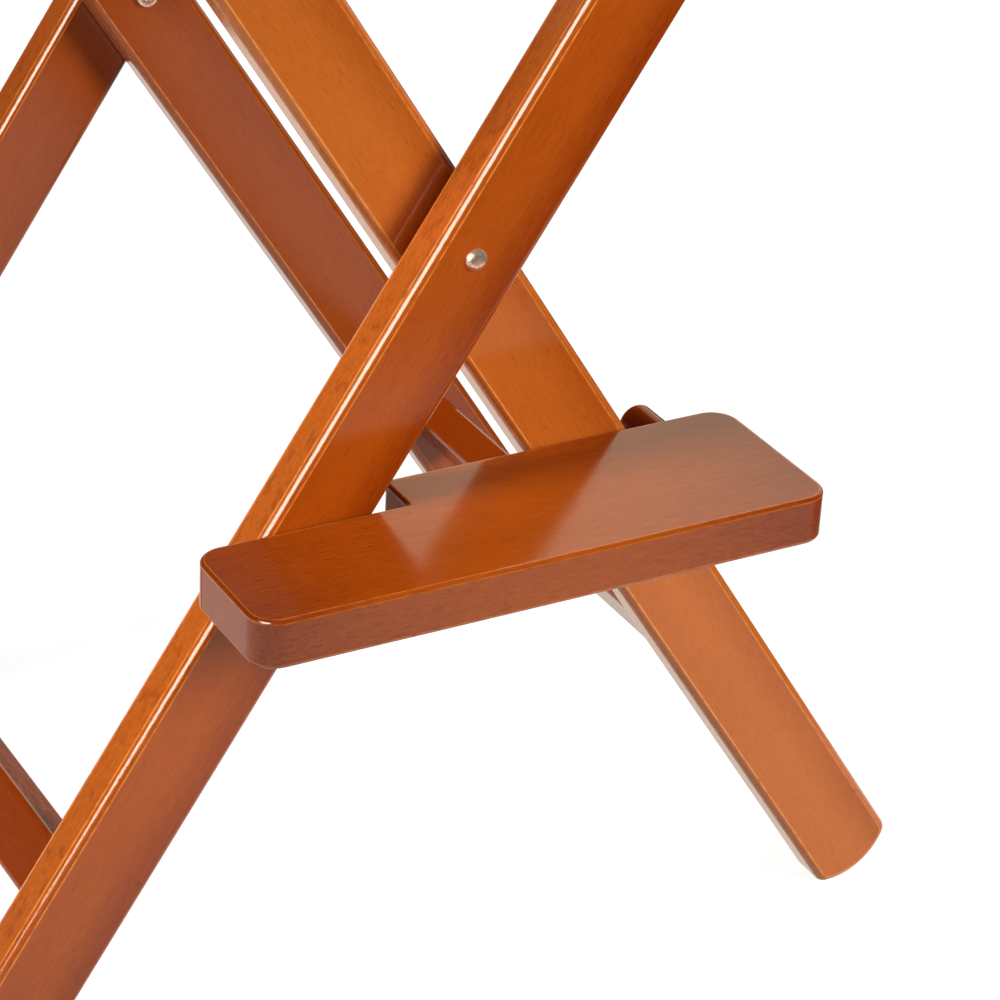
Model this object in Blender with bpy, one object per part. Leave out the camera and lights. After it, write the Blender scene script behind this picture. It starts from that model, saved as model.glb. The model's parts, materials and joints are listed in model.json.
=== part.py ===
"""Bar-height folding director's chair in stained hardwood, with a swing-down footrest.

Two X frames, one nested inside the other, turn on a bolt at the front and one at the back. Each
X frame carries one side of the chair: two posts, a seat rail and an armrest, hinged on the tops
of its legs. The canvas seat hangs between the rails and the canvas back between the back posts.
The footrest hinges on the outer front leg, and its peg rests on the inner front leg.

Metres, +Z up, the sitter faces -Y, origin on the floor under the middle of the chair.
"""
from math import acos, atan, atan2, ceil, cos, pi, radians, sin

import bmesh
import bpy
from mathutils import Vector

# Leg stock and X frames
LEG_WIDTH = 0.040
LEG_THICK = 0.020
EDGE_ROUND = 0.0031
LEG_ANGLE = radians(33.3)
FRAME_DEPTH = 0.348
PIVOT_HEIGHT = 0.358
PIVOT_OFFSET = 0.0025
SEAT_PIVOT_HEIGHT = 0.726
FOOT_RADIUS = 0.030
FOOT_CORNER = 0.006
FOOT_FLAT = 0.0006

# Fits: FIT parts pieces that touch, LEG_GAP leaves room for a washer between turning ones,
# RUNNING_GAP keeps the footrest off the legs, PAST is how far a cutter overshoots
FIT = 0.0003
LEG_GAP = 0.0016
RUNNING_GAP = 0.0005
PAST = 0.002

# Stretchers, with a stub tenon on each end
STRETCHER_WIDTH = 0.027
STRETCHER_THICK = 0.018
STRETCHER_ROUND = 0.0026
OUTER_STRETCHER_HEIGHT = 0.1082
INNER_STRETCHER_HEIGHT = 0.1107
TENON_WIDTH = 0.021
TENON_THICK = 0.011
TENON_ROUND = 0.0025
TENON_LENGTH = 0.011

# Connector bolts, dome nuts and spacers
BOLT_RADIUS = 0.003
BOLT_HEAD_RADIUS = 0.005
BOLT_HEAD_HEIGHT = 0.0022
SOCKET_RADIUS = 0.0019
SOCKET_DEPTH = 0.0016
NUT_HEAD_RADIUS = 0.0046
NUT_DOME = 0.002
NUT_BARREL_RADIUS = 0.0042
NUT_BARREL = 0.013
NUT_CROWN = 0.002
SPACER_RADIUS = 0.009
RAIL_BOLT_IN_RAIL = 0.012
RAIL_BOLT_RISE = 0.010

# Footrest
FOOTREST_TOP = 0.2596
FOOTREST_THICK = 0.0205
FOOTREST_ROUND = 0.0014
FOOTREST_CORNER = 0.0115
STEP_CORNER = 0.0042
FOOTREST_LEFT = -0.1172
FOOTREST_RIGHT = 0.1317
FOOTREST_STEP = -0.0255
FOOTREST_REACH = 0.061
PEG_RADIUS = 0.008
PEG_IN_BOARD = 0.028
PEG_CHAMFER = 0.001
INSERT_RADIUS = 0.005
INSERT_DEPTH = 0.013
HINGE_HEAD_RADIUS = 0.0055
HINGE_HEAD_HEIGHT = 0.004

# Side frames
RAIL_THICK = 0.020
RAIL_HEIGHT = 0.036
RAIL_ROUND = 0.004
RAIL_CLEARANCE = 0.003
DOWEL_RADIUS = 0.004
DOWEL_CHAMFER = 0.001
DOWEL_BELOW_TOP = 0.014
SLOT_WIDTH = 0.003
ARM_TOP = 0.990
ARM_THICK = 0.020
ARM_WIDTH = 0.060
ARM_INNER_OVERHANG = 0.002
ARM_FRONT_OVERHANG = 0.022
ARM_FRONT_CORNER = 0.022
ARM_BACK_CORNER = 0.008
POST_TOP = 1.169
POST_CORNER = 0.008
SCREW_RADIUS = 0.0022
SCREW_HEAD_RADIUS = 0.0045
SCREW_HEAD_HEIGHT = 0.0024
SCREW_LENGTH = 0.034

# Canvas
CANVAS_THICK = 0.0012
SEAT_EDGE_INSET = 0.004
SEAT_SLOPE = 0.17
BACK_BOTTOM = 0.998
BACK_TOP = 1.162
BACK_BOW = 0.012

# Smoothness of arcs, rounded edges, turned pieces and canvas
ARC_STEP = radians(15)
ROUND_STEPS = 3
METAL_STEPS = 12
ROD_STEPS = 20
DOME_STEPS = 3
CANVAS_SPANS = 8
CANVAS_BENDS = 3

# Places worked out from the sizes above
SIN = sin(LEG_ANGLE)
COS = cos(LEG_ANGLE)
LAYER = LEG_THICK + LEG_GAP
FRONT_REACH = max(FOOTREST_REACH, LAYER + ARM_FRONT_OVERHANG)
BACK_REACH = FRAME_DEPTH + LAYER + NUT_DOME + FIT
FRONT_Y = (FRONT_REACH - BACK_REACH) / 2
BACK_Y = FRONT_Y + FRAME_DEPTH
SEAT_PIVOT_UP = (SEAT_PIVOT_HEIGHT - PIVOT_HEIGHT + PIVOT_OFFSET * SIN) / COS
SEAT_PIVOT_X = PIVOT_OFFSET * COS + SEAT_PIVOT_UP * SIN
FOOT_CENTRE_UP = (FOOT_RADIUS - FOOT_FLAT - PIVOT_HEIGHT + PIVOT_OFFSET * SIN) / COS
FOOTREST_MID = FOOTREST_TOP - FOOTREST_THICK / 2
HINGE_UP = (FOOTREST_MID - PIVOT_HEIGHT + PIVOT_OFFSET * SIN) / COS
HINGE_X = PIVOT_OFFSET * COS + HINGE_UP * SIN
PEG_FROM_PIVOT = LEG_WIDTH / 2 - PIVOT_OFFSET + FIT + PEG_RADIUS
PEG_X = (PEG_FROM_PIVOT - (FOOTREST_MID - PIVOT_HEIGHT) * SIN) / COS
HALF_POST = LEG_WIDTH / 2
FRONT_POST_Y = FRONT_Y - LAYER
BACK_POST_Y = BACK_Y + LEG_GAP
SIDE_BACK_Y = BACK_POST_Y + LEG_THICK

# Heights in a side frame, measured from the pivot on its leg tops
RAIL_BOTTOM = LEG_WIDTH / 2 + RAIL_CLEARANCE
RAIL_TOP = RAIL_BOTTOM + RAIL_HEIGHT
RAIL_INNER = HALF_POST + FIT + RAIL_THICK
RAIL_MIDDLE = RAIL_INNER - RAIL_THICK / 2
DOWEL_UP = RAIL_TOP - DOWEL_BELOW_TOP
HEM_RADIUS = DOWEL_RADIUS + FIT + CANVAS_THICK
ARM_UP = ARM_TOP - SEAT_PIVOT_HEIGHT
ARM_INNER = HALF_POST + ARM_INNER_OVERHANG
ARM_OUTER = ARM_WIDTH - ARM_INNER

PLANES = {
    "X": lambda p, q, h: (h, p, q),
    "Y": lambda p, q, h: (p, h, q),
    "Z": lambda p, q, h: (p, q, h),
}


def clear_scene():
    for item in list(bpy.data.objects):
        bpy.data.objects.remove(item, do_unlink=True)


def material(name, colour, roughness, metallic=0.0):
    finish = bpy.data.materials.new(name)
    finish.use_nodes = True
    shader = finish.node_tree.nodes["Principled BSDF"]
    shader.inputs["Base Color"].default_value = (*colour, 1.0)
    shader.inputs["Roughness"].default_value = roughness
    shader.inputs["Metallic"].default_value = metallic
    return finish


def body(name, location, turn=0.0):
    """Empty on a joint's axis that carries one rigid body, turned about Y."""
    empty = bpy.data.objects.new(name, None)
    empty.location = location
    empty.rotation_euler = (0.0, turn, 0.0)
    bpy.context.scene.collection.objects.link(empty)
    return empty


def place(name, shape, carrier):
    """Turn a bmesh into an object under its body, with its faces pointing out."""
    bmesh.ops.recalc_face_normals(shape, faces=shape.faces)
    mesh = bpy.data.meshes.new(name)
    shape.to_mesh(mesh)
    shape.free()
    mesh.shade_smooth()
    mesh.set_sharp_from_angle(angle=radians(35))
    item = bpy.data.objects.new(name, mesh)
    item.parent = carrier
    bpy.context.scene.collection.objects.link(item)
    return item


def piece(name, shape, carrier, finish, cutter=None):
    """One sub-part, with its holes cut by a hidden cutter."""
    item = place(name, shape, carrier)
    item.data.materials.append(finish)
    if cutter is not None:
        tool = place("cut_" + name, cutter, carrier)
        tool.hide_render = True
        tool.display_type = "WIRE"
        holes = item.modifiers.new("holes", "BOOLEAN")
        holes.operation = "DIFFERENCE"
        holes.solver = "EXACT"
        holes.use_self = True
        holes.object = tool


def corner_arcs(corners):
    """Arcs (centre p, centre q, signed radius, start, end) round a counter-clockwise outline.

    Each corner is (p, q, radius). A hollow corner gets a negative radius, so that an inset
    always moves the outline into the material.
    """
    arcs = []
    for i, (p, q, radius) in enumerate(corners):
        before = corners[i - 1]
        after = corners[(i + 1) % len(corners)]
        start = atan2(q - before[1], p - before[0]) - pi / 2
        end = atan2(after[1] - q, after[0] - p) - pi / 2
        turn = (end - start + pi) % (2 * pi) - pi
        signed = radius if turn > 0 else -radius
        reach = signed / cos(turn / 2)
        middle = start + turn / 2
        centre = (p - reach * cos(middle), q - reach * sin(middle))
        arcs.append((*centre, signed, start, start + turn))
    return arcs


def box_arcs(p0, q0, p1, q1, radius):
    low_p, high_p = sorted((p0, p1))
    low_q, high_q = sorted((q0, q1))
    corners = [(low_p, low_q), (high_p, low_q), (high_p, high_q), (low_p, high_q)]
    return corner_arcs([(p, q, radius) for p, q in corners])


def arc_points(arcs, inset=0.0):
    """Points along the arcs of an outline that is drawn in by the inset."""
    points = []
    for p, q, radius, start, end in arcs:
        steps = max(1, ceil(abs(end - start) / ARC_STEP - FIT))
        for k in range(steps + 1):
            angle = start + (end - start) * k / steps
            points.append((p + (radius - inset) * cos(angle), q + (radius - inset) * sin(angle)))
    return points


def add_rings(shape, rings):
    """Skin a row of rings of equal length and close both ends."""
    loops = [[shape.verts.new(point) for point in ring] for ring in rings]
    for lower, upper in zip(loops, loops[1:]):
        for i in range(len(lower)):
            j = (i + 1) % len(lower)
            shape.faces.new((lower[i], lower[j], upper[j], upper[i]))
    shape.faces.new(loops[0])
    shape.faces.new(loops[-1])


def slab(arcs, low, high, edge_round, axis):
    """Board: an outline carried from low to high along an axis, with rounded edges."""
    levels = []
    for k in range(ROUND_STEPS + 1):
        angle = pi / 2 * k / ROUND_STEPS
        levels.append((edge_round * (1 - sin(angle)), low + edge_round * (1 - cos(angle))))
    levels += [(inset, low + high - level) for inset, level in reversed(levels)]
    to_space = PLANES[axis]
    rings = []
    for inset, level in levels:
        rings.append([to_space(p, q, level) for p, q in arc_points(arcs, inset)])
    shape = bmesh.new()
    add_rings(shape, rings)
    return shape


def prism(points, low, high, axis, shape=None):
    """Plain extrusion of a list of points, added to a shape."""
    shape = shape or bmesh.new()
    to_space = PLANES[axis]
    add_rings(shape, [[to_space(p, q, level) for p, q in points] for level in (low, high)])
    return shape


def turned(profile, centre, axis="Y", shape=None, sides=METAL_STEPS):
    """Turned solid about an axis, added to a shape: profile points are (radius, place on the axis).

    A profile that starts and ends on the axis is a rod; any other profile is a closed ring.
    """
    shape = shape or bmesh.new()
    to_space = PLANES[axis]
    rings = []
    for radius, height in profile:
        ring = []
        for k in range(sides if radius > 0 else 1):
            angle = 2 * pi * k / sides
            spot = (centre[0] + radius * cos(angle), centre[1] + radius * sin(angle), height)
            ring.append(shape.verts.new(to_space(*spot)))
        rings.append(ring)
    pairs = list(zip(rings, rings[1:]))
    if profile[0][0] > 0:
        pairs.append((rings[-1], rings[0]))
    for first, second in pairs:
        for k in range(sides):
            j = (k + 1) % sides
            corners = [first[k % len(first)], first[j % len(first)]]
            corners += [second[j % len(second)], second[k % len(second)]]
            shape.faces.new(list(dict.fromkeys(corners)))
    return shape


def rod(radius, low, high, centre, axis="Y", shape=None, sides=METAL_STEPS):
    """Plain round rod, used as the cutter for a round hole."""
    profile = [(0, low), (radius, low), (radius, high), (0, high)]
    return turned(profile, centre, axis, shape, sides)


def eased_rod(radius, low, high, centre, chamfer):
    """Round wooden rod along Y with chamfered ends."""
    profile = [(0, low), (radius - chamfer, low), (radius, low + chamfer)]
    profile += [(radius, high - chamfer), (radius - chamfer, high), (0, high)]
    return turned(profile, centre, sides=ROD_STEPS)


def from_face(face, inward, profile):
    """Profile whose depths are counted inward from a face."""
    return [(radius, face + inward * depth) for radius, depth in profile]


def dome_nut(name, face, inward, carrier):
    """Dome nut on an outer face, its bored barrel running inward along Y."""
    ball = (NUT_HEAD_RADIUS ** 2 + NUT_DOME ** 2) / (2 * NUT_DOME)
    spread = acos((ball - NUT_DOME) / ball)
    profile = []
    for k in range(DOME_STEPS + 1):
        angle = spread * k / DOME_STEPS
        profile.append((ball * sin(angle), ball * (1 - cos(angle)) - NUT_DOME - FIT))
    bore = BOLT_RADIUS + FIT
    profile += [(NUT_BARREL_RADIUS, -FIT), (NUT_BARREL_RADIUS, NUT_BARREL), (bore, NUT_BARREL)]
    profile += [(bore, NUT_CROWN), (0, NUT_CROWN)]
    piece(name, turned(from_face(face, inward, profile), (0.0, 0.0)), carrier, STEEL)


def socket_bolt(name, face, inward, grip, carrier):
    """Socket-head bolt: head on the innermost face, shank reaching out into the dome nut."""
    under = grip + FIT
    top = under + BOLT_HEAD_HEIGHT
    profile = [(0, NUT_CROWN + FIT), (BOLT_RADIUS, NUT_CROWN + FIT), (BOLT_RADIUS, under)]
    profile += [(BOLT_HEAD_RADIUS, under), (BOLT_HEAD_RADIUS, top), (SOCKET_RADIUS, top)]
    profile += [(SOCKET_RADIUS, top - SOCKET_DEPTH), (0, top - SOCKET_DEPTH)]
    piece(name, turned(from_face(face, inward, profile), (0.0, 0.0)), carrier, STEEL)


def bolted_pivot(name, face, inward, gap, carrier):
    """Bolt, dome nut and spacer that join two legs or posts across a gap, about the body's origin."""
    dome_nut(name + "_dome_nut", face, inward, carrier)
    socket_bolt(name + "_bolt", face, inward, LEG_THICK + gap + LEG_THICK, carrier)
    bore = BOLT_RADIUS + FIT
    near = LEG_THICK + FIT
    far = LEG_THICK + gap - FIT
    profile = [(bore, near), (SPACER_RADIUS, near), (SPACER_RADIUS, far), (bore, far)]
    spacer = turned(from_face(face, inward, profile), (0.0, 0.0))
    piece(name + "_spacer", spacer, carrier, NYLON)


def leg_arcs(side):
    """Leg outline in its frame: round top about the seat pivot, bowed foot with eased corners."""
    middle = side * PIVOT_OFFSET
    half = LEG_WIDTH / 2
    corner_out = half - FOOT_CORNER
    corner_reach = FOOT_RADIUS - FOOT_CORNER
    slope = acos(corner_out / corner_reach)
    corner_up = FOOT_CENTRE_UP - corner_reach * sin(slope)
    return [
        (middle, SEAT_PIVOT_UP, half, 0, pi),
        (middle - corner_out, corner_up, FOOT_CORNER, pi, pi + slope),
        (middle, FOOT_CENTRE_UP, FOOT_RADIUS, pi + slope + ARC_STEP / 2, 2 * pi - slope - ARC_STEP / 2),
        (middle + corner_out, corner_up, FOOT_CORNER, 2 * pi - slope, 2 * pi),
    ]


def bar_arcs(side, width, thick, corner):
    """Section of a stretcher or its tenon, centred on a leg's middle line."""
    middle = side * PIVOT_OFFSET
    height = OUTER_STRETCHER_HEIGHT if side > 0 else INNER_STRETCHER_HEIGHT
    low = (height - PIVOT_HEIGHT + PIVOT_OFFSET * SIN) / COS - width / 2
    return box_arcs(middle - thick / 2, low, middle + thick / 2, low + width, corner)


def leg(name, side, low, inward, pivot_hole, carrier):
    """One leg: side is +1 in the outer frame and -1 in the inner, inward points at the stretcher."""
    board = slab(leg_arcs(side), low, low + LEG_THICK, EDGE_ROUND, "Y")
    up = Vector((-side * SIN, 0.0, COS))
    everything = board.verts[:] + board.edges[:] + board.faces[:]
    cut = bmesh.ops.bisect_plane(
        board, geom=everything, plane_co=up * -PIVOT_HEIGHT, plane_no=up, clear_inner=True)
    rim = [part for part in cut["geom_cut"] if isinstance(part, bmesh.types.BMEdge)]
    bmesh.ops.edgeloop_fill(board, edges=rim)

    high = low + LEG_THICK
    cutter = rod(pivot_hole, low - PAST, high + PAST, (0.0, 0.0))
    rod(BOLT_RADIUS + FIT, low - PAST, high + PAST, (side * PIVOT_OFFSET, SEAT_PIVOT_UP), shape=cutter)
    face = high if inward > 0 else low
    mortise = bar_arcs(side, TENON_WIDTH + 2 * FIT, TENON_THICK + 2 * FIT, TENON_ROUND + FIT)
    depth = sorted((face + inward * PAST, face - inward * (TENON_LENGTH + FIT)))
    prism(arc_points(mortise), *depth, "Y", cutter)
    if name == "outer_leg_front":
        turned(hinge_profile(FIT), (PIVOT_OFFSET, HINGE_UP), shape=cutter)
    piece(name, board, carrier, WOOD_LEG, cutter)


def stretcher(name, side, low, high, carrier):
    """Front-to-back bar between two legs, with a stub tenon on each end."""
    bar = arc_points(bar_arcs(side, STRETCHER_WIDTH, STRETCHER_THICK, STRETCHER_ROUND))
    tenon = arc_points(bar_arcs(side, TENON_WIDTH, TENON_THICK, TENON_ROUND))
    front = low + FIT
    back = high - FIT
    sections = [(tenon, low - TENON_LENGTH), (tenon, front), (bar, front)]
    sections += [(bar, back), (tenon, back), (tenon, high + TENON_LENGTH)]
    shape = bmesh.new()
    add_rings(shape, [[(x, y, z) for x, z in section] for section, y in sections])
    piece(name, shape, carrier, WOOD_LEG)


def x_frames(outer, inner):
    """Both X frames with their stretchers and the two pivots that join them."""
    barrel_hole = NUT_BARREL_RADIUS + FIT
    shank_hole = BOLT_RADIUS + FIT
    inner_front = FRONT_Y + LAYER
    inner_back = BACK_Y - LAYER
    leg("outer_leg_front", 1, FRONT_Y, 1, barrel_hole, outer)
    leg("outer_leg_back", 1, BACK_Y - LEG_THICK, -1, barrel_hole, outer)
    leg("inner_leg_front", -1, inner_front, 1, shank_hole, inner)
    leg("inner_leg_back", -1, inner_back - LEG_THICK, -1, shank_hole, inner)
    stretcher("outer_stretcher", 1, FRONT_Y + LEG_THICK, BACK_Y - LEG_THICK, outer)
    stretcher("inner_stretcher", -1, inner_front + LEG_THICK, inner_back - LEG_THICK, inner)
    bolted_pivot("front_cross_pivot", FRONT_Y, 1, LEG_GAP, outer)
    bolted_pivot("back_cross_pivot", BACK_Y, -1, LEG_GAP, outer)


def hinge_profile(spare=0.0):
    """Footrest bolt, head sunk in the back of the outer front leg; spare gives the hole it sits in."""
    back = FRONT_Y + LEG_THICK - 2 * FIT
    under = back - HINGE_HEAD_HEIGHT
    tip = FRONT_Y - RUNNING_GAP - INSERT_DEPTH + FIT
    shank = BOLT_RADIUS + spare
    head = HINGE_HEAD_RADIUS + spare
    if spare:
        front = FRONT_Y - PAST
        seat = under - spare
        rear = FRONT_Y + LEG_THICK + PAST
        return [(0, front), (shank, front), (shank, seat), (head, seat), (head, rear), (0, rear)]
    bottom = back - SOCKET_DEPTH
    rim = [(head, back), (SOCKET_RADIUS, back), (SOCKET_RADIUS, bottom), (0, bottom)]
    return [(0, tip), (shank, tip), (shank, under), (head, under)] + rim


def footrest(outer, carrier):
    """Stepped board with a threaded insert at its hinge and the peg that rests on the inner leg."""
    front = FRONT_Y - FOOTREST_REACH
    narrow = FRONT_Y - RUNNING_GAP
    wide = FRONT_Y + LAYER - RUNNING_GAP
    left, right, step = (x - HINGE_X for x in (FOOTREST_LEFT, FOOTREST_RIGHT, FOOTREST_STEP))
    corners = [
        (left, front, FOOTREST_CORNER), (right, front, FOOTREST_CORNER),
        (right, wide, FOOTREST_CORNER), (step, wide, STEP_CORNER),
        (step, narrow, 0.0), (left, narrow, FOOTREST_CORNER)]
    half = FOOTREST_THICK / 2
    board = slab(corner_arcs(corners), -half, half, FOOTREST_ROUND, "Z")
    hinge = (0.0, 0.0)
    peg = (PEG_X - HINGE_X, 0.0)
    cutter = rod(INSERT_RADIUS + FIT, narrow - INSERT_DEPTH - FIT, narrow + PAST, hinge)
    rod(PEG_RADIUS + FIT, wide - PEG_IN_BOARD - FIT, wide + PAST, peg, shape=cutter, sides=ROD_STEPS)
    piece("footrest_board", board, carrier, WOOD_FOOTREST, cutter)

    bore = BOLT_RADIUS + FIT
    inner_end = narrow - INSERT_DEPTH
    outer_end = narrow - FIT
    sleeve = [(bore, inner_end), (INSERT_RADIUS, inner_end), (INSERT_RADIUS, outer_end), (bore, outer_end)]
    piece("footrest_insert", turned(sleeve, hinge), carrier, BRASS)
    peg_end = FRONT_Y + LAYER + LEG_THICK
    stick = eased_rod(PEG_RADIUS, wide - PEG_IN_BOARD, peg_end, peg, PEG_CHAMFER)
    piece("footrest_peg", stick, carrier, WOOD_FOOTREST)
    bolt = turned(hinge_profile(), (PIVOT_OFFSET, HINGE_UP))
    piece("footrest_hinge_bolt", bolt, outer, STEEL)


def arm_screw(face, into, spare=0.0):
    """Countersunk screw driven from a face; spare gives the hole it sits in."""
    top = face + into * 2 * FIT
    under = top + into * (SCREW_HEAD_HEIGHT + spare)
    tip = top + into * (SCREW_LENGTH + spare)
    shank = SCREW_RADIUS + spare
    head = SCREW_HEAD_RADIUS + spare
    profile = [(0, tip), (shank, tip), (shank, under), (head, top)]
    if spare:
        profile.append((head, face - into * PAST))
    return profile + [(0, profile[-1][1])]


def post(name, low, top, screw, carrier):
    """Side post, round at its foot about the pivot; screw is where the arm screw enters it."""
    foot = HALF_POST - FIT
    corners = [
        (-HALF_POST, -HALF_POST, foot), (HALF_POST, -HALF_POST, foot),
        (HALF_POST, top, POST_CORNER), (-HALF_POST, top, POST_CORNER)]
    board = slab(corner_arcs(corners), low, low + LEG_THICK, EDGE_ROUND, "Y")
    cutter = rod(NUT_BARREL_RADIUS + FIT, low - PAST, low + LEG_THICK + PAST, (0.0, 0.0))
    across = (low + LEG_THICK / 2, RAIL_BOTTOM + RAIL_BOLT_RISE)
    rod(BOLT_RADIUS + FIT, -HALF_POST - PAST, HALF_POST + PAST, across, "X", cutter)
    face, into, centre, axis = screw
    turned(arm_screw(face, into, FIT), centre, axis, cutter)
    piece(name, board, carrier, WOOD_SIDE, cutter)


def rail_bolt(name, low, out, carrier):
    """Bolt through a post from its outer face into the end of the seat rail."""
    head = out * (HALF_POST + FIT)
    top = head + out * BOLT_HEAD_HEIGHT
    tip = -out * (HALF_POST + RAIL_BOLT_IN_RAIL)
    bottom = top - out * SOCKET_DEPTH
    profile = [(0, tip), (BOLT_RADIUS, tip), (BOLT_RADIUS, head), (BOLT_HEAD_RADIUS, head)]
    profile += [(BOLT_HEAD_RADIUS, top), (SOCKET_RADIUS, top), (SOCKET_RADIUS, bottom), (0, bottom)]
    centre = (low + LEG_THICK / 2, RAIL_BOTTOM + RAIL_BOLT_RISE)
    piece(name, turned(profile, centre, "X"), carrier, STEEL)


def seat_rail(side, out, carrier):
    """Rail with a keyhole groove along its top, and the dowel that holds the seat's hem in it."""
    inner = -out * RAIL_INNER
    outer = inner + out * RAIL_THICK
    middle = -out * RAIL_MIDDLE
    half_slot = SLOT_WIDTH / 2
    bore = HEM_RADIUS + FIT
    mouth = acos(half_slot / bore)
    block = arc_points(box_arcs(inner, RAIL_BOTTOM, outer, RAIL_TOP, RAIL_ROUND))
    top_edge = len(block) * 3 // 4
    groove = [(middle + half_slot, RAIL_TOP)]
    groove += arc_points([(middle, DOWEL_UP, bore, mouth, -pi - mouth)])
    groove.append((middle - half_slot, RAIL_TOP))
    rail = prism(block[:top_edge] + groove + block[top_edge:], FRONT_POST_Y, SIDE_BACK_Y, "Y")
    cutter = bmesh.new()
    hole = sorted((outer + out * PAST, -out * (HALF_POST + RAIL_BOLT_IN_RAIL + FIT)))
    for low in (FRONT_POST_Y, BACK_POST_Y):
        centre = (low + LEG_THICK / 2, RAIL_BOTTOM + RAIL_BOLT_RISE)
        rod(BOLT_RADIUS + FIT, *hole, centre, "X", cutter)
    piece(f"{side}_seat_rail", rail, carrier, WOOD_SIDE, cutter)
    dowel = eased_rod(DOWEL_RADIUS, FRONT_POST_Y, SIDE_BACK_Y, (middle, DOWEL_UP), DOWEL_CHAMFER)
    piece(f"{side}_seat_dowel", dowel, carrier, WOOD_PLAIN)


def armrest(side, out, screws, carrier):
    """Flat arm on the front post, notched round the back post."""
    front = FRONT_POST_Y - ARM_FRONT_OVERHANG
    low, high = sorted((-out * ARM_INNER, out * ARM_OUTER))
    corners = [
        (low, front, ARM_FRONT_CORNER), (high, front, ARM_FRONT_CORNER),
        (high, SIDE_BACK_Y, ARM_BACK_CORNER), (low, SIDE_BACK_Y, ARM_BACK_CORNER)]
    bottom = ARM_UP - ARM_THICK
    board = slab(corner_arcs(corners), bottom, ARM_UP, EDGE_ROUND, "Z")
    open_side = -out * (ARM_INNER + PAST)
    post_side = out * (HALF_POST + FIT)
    notch_front = BACK_POST_Y - FIT
    notch_back = SIDE_BACK_Y + PAST
    notch = [(open_side, notch_front), (post_side, notch_front)]
    notch += [(post_side, notch_back), (open_side, notch_back)]
    cutter = prism(notch, bottom - PAST, ARM_UP + PAST, "Z")
    for end, (face, into, centre, axis) in screws.items():
        turned(arm_screw(face, into, FIT), centre, axis, cutter)
        piece(f"{side}_{end}_arm_screw", turned(arm_screw(face, into), centre, axis), carrier, STEEL)
    piece(f"{side}_armrest", board, carrier, WOOD_SIDE, cutter)


def side_frame(side, out, carrier):
    """One side of the chair, about the pivot on its leg tops: out is +1 on the right, -1 on the left."""
    gap = LEG_GAP if out > 0 else LEG_GAP + LAYER
    screws = {
        "front": (ARM_UP, -1, (0.0, FRONT_POST_Y + LEG_THICK / 2), "Z"),
        "back": (out * ARM_OUTER, -out, (BACK_POST_Y + LEG_THICK / 2, ARM_UP - ARM_THICK / 2), "X"),
    }
    tops = {"front": ARM_UP - ARM_THICK - FIT, "back": POST_TOP - SEAT_PIVOT_HEIGHT}
    for end, low, face, inward in (
            ("front", FRONT_POST_Y, FRONT_POST_Y, 1), ("back", BACK_POST_Y, SIDE_BACK_Y, -1)):
        post(f"{side}_{end}_post", low, tops[end], screws[end], carrier)
        bolted_pivot(f"{side}_{end}_leg_pivot", face, inward, gap, carrier)
        rail_bolt(f"{side}_{end}_rail_bolt", low, out, carrier)
    seat_rail(side, out, carrier)
    armrest(side, out, screws, carrier)


def mirrored(half):
    """Close a right-hand outline, drawn from the middle round to the middle, with its mirror."""
    return half + [(-p, q) for p, q in half[-2:0:-1]]


def seat_face(lift):
    """Curve of one canvas face from the middle to the rail: a parabola, then a bend over the rail's edge."""
    lean = atan(SEAT_SLOPE)
    radius = RAIL_ROUND + FIT + lift
    centre_x = SEAT_PIVOT_X - RAIL_INNER + RAIL_ROUND
    centre_z = SEAT_PIVOT_HEIGHT + RAIL_TOP - RAIL_ROUND
    edge_x = centre_x - radius * sin(lean)
    edge_z = centre_z + radius * cos(lean)
    curve = []
    for k in range(CANVAS_SPANS):
        share = k / CANVAS_SPANS
        curve.append((edge_x * share, edge_z - SEAT_SLOPE * edge_x / 2 * (1 - share ** 2)))
    for k in range(CANVAS_BENDS + 1):
        angle = pi / 2 + lean * (1 - k / CANVAS_BENDS)
        curve.append((centre_x + radius * cos(angle), centre_z + radius * sin(angle)))
    return curve


def seat_canvas(carrier):
    """Seat: sags between the rails, bends over their edges and ends in a hem round each dowel."""
    half = CANVAS_THICK / 2
    dowel = (SEAT_PIVOT_X - RAIL_MIDDLE, SEAT_PIVOT_HEIGHT + DOWEL_UP)
    rail_top = SEAT_PIVOT_HEIGHT + RAIL_TOP + FIT
    mouth = acos(half / HEM_RADIUS)
    hem = arc_points([(*dowel, HEM_RADIUS, mouth, -pi - mouth)])
    upper = seat_face(CANVAS_THICK) + [(dowel[0] + half, rail_top + CANVAS_THICK)]
    lower = seat_face(0.0) + [(dowel[0] - half, rail_top)]
    low = FRONT_POST_Y + SEAT_EDGE_INSET
    high = SIDE_BACK_Y - SEAT_EDGE_INSET
    cutter = bmesh.new()
    for side in (-1, 1):
        centre = (side * dowel[0], dowel[1])
        rod(DOWEL_RADIUS + FIT, low - PAST, high + PAST, centre, shape=cutter, sides=ROD_STEPS)
    shape = prism(mirrored(upper + hem + lower[::-1]), low, high, "Y")
    piece("seat_canvas", shape, carrier, CANVAS, cutter)


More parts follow.
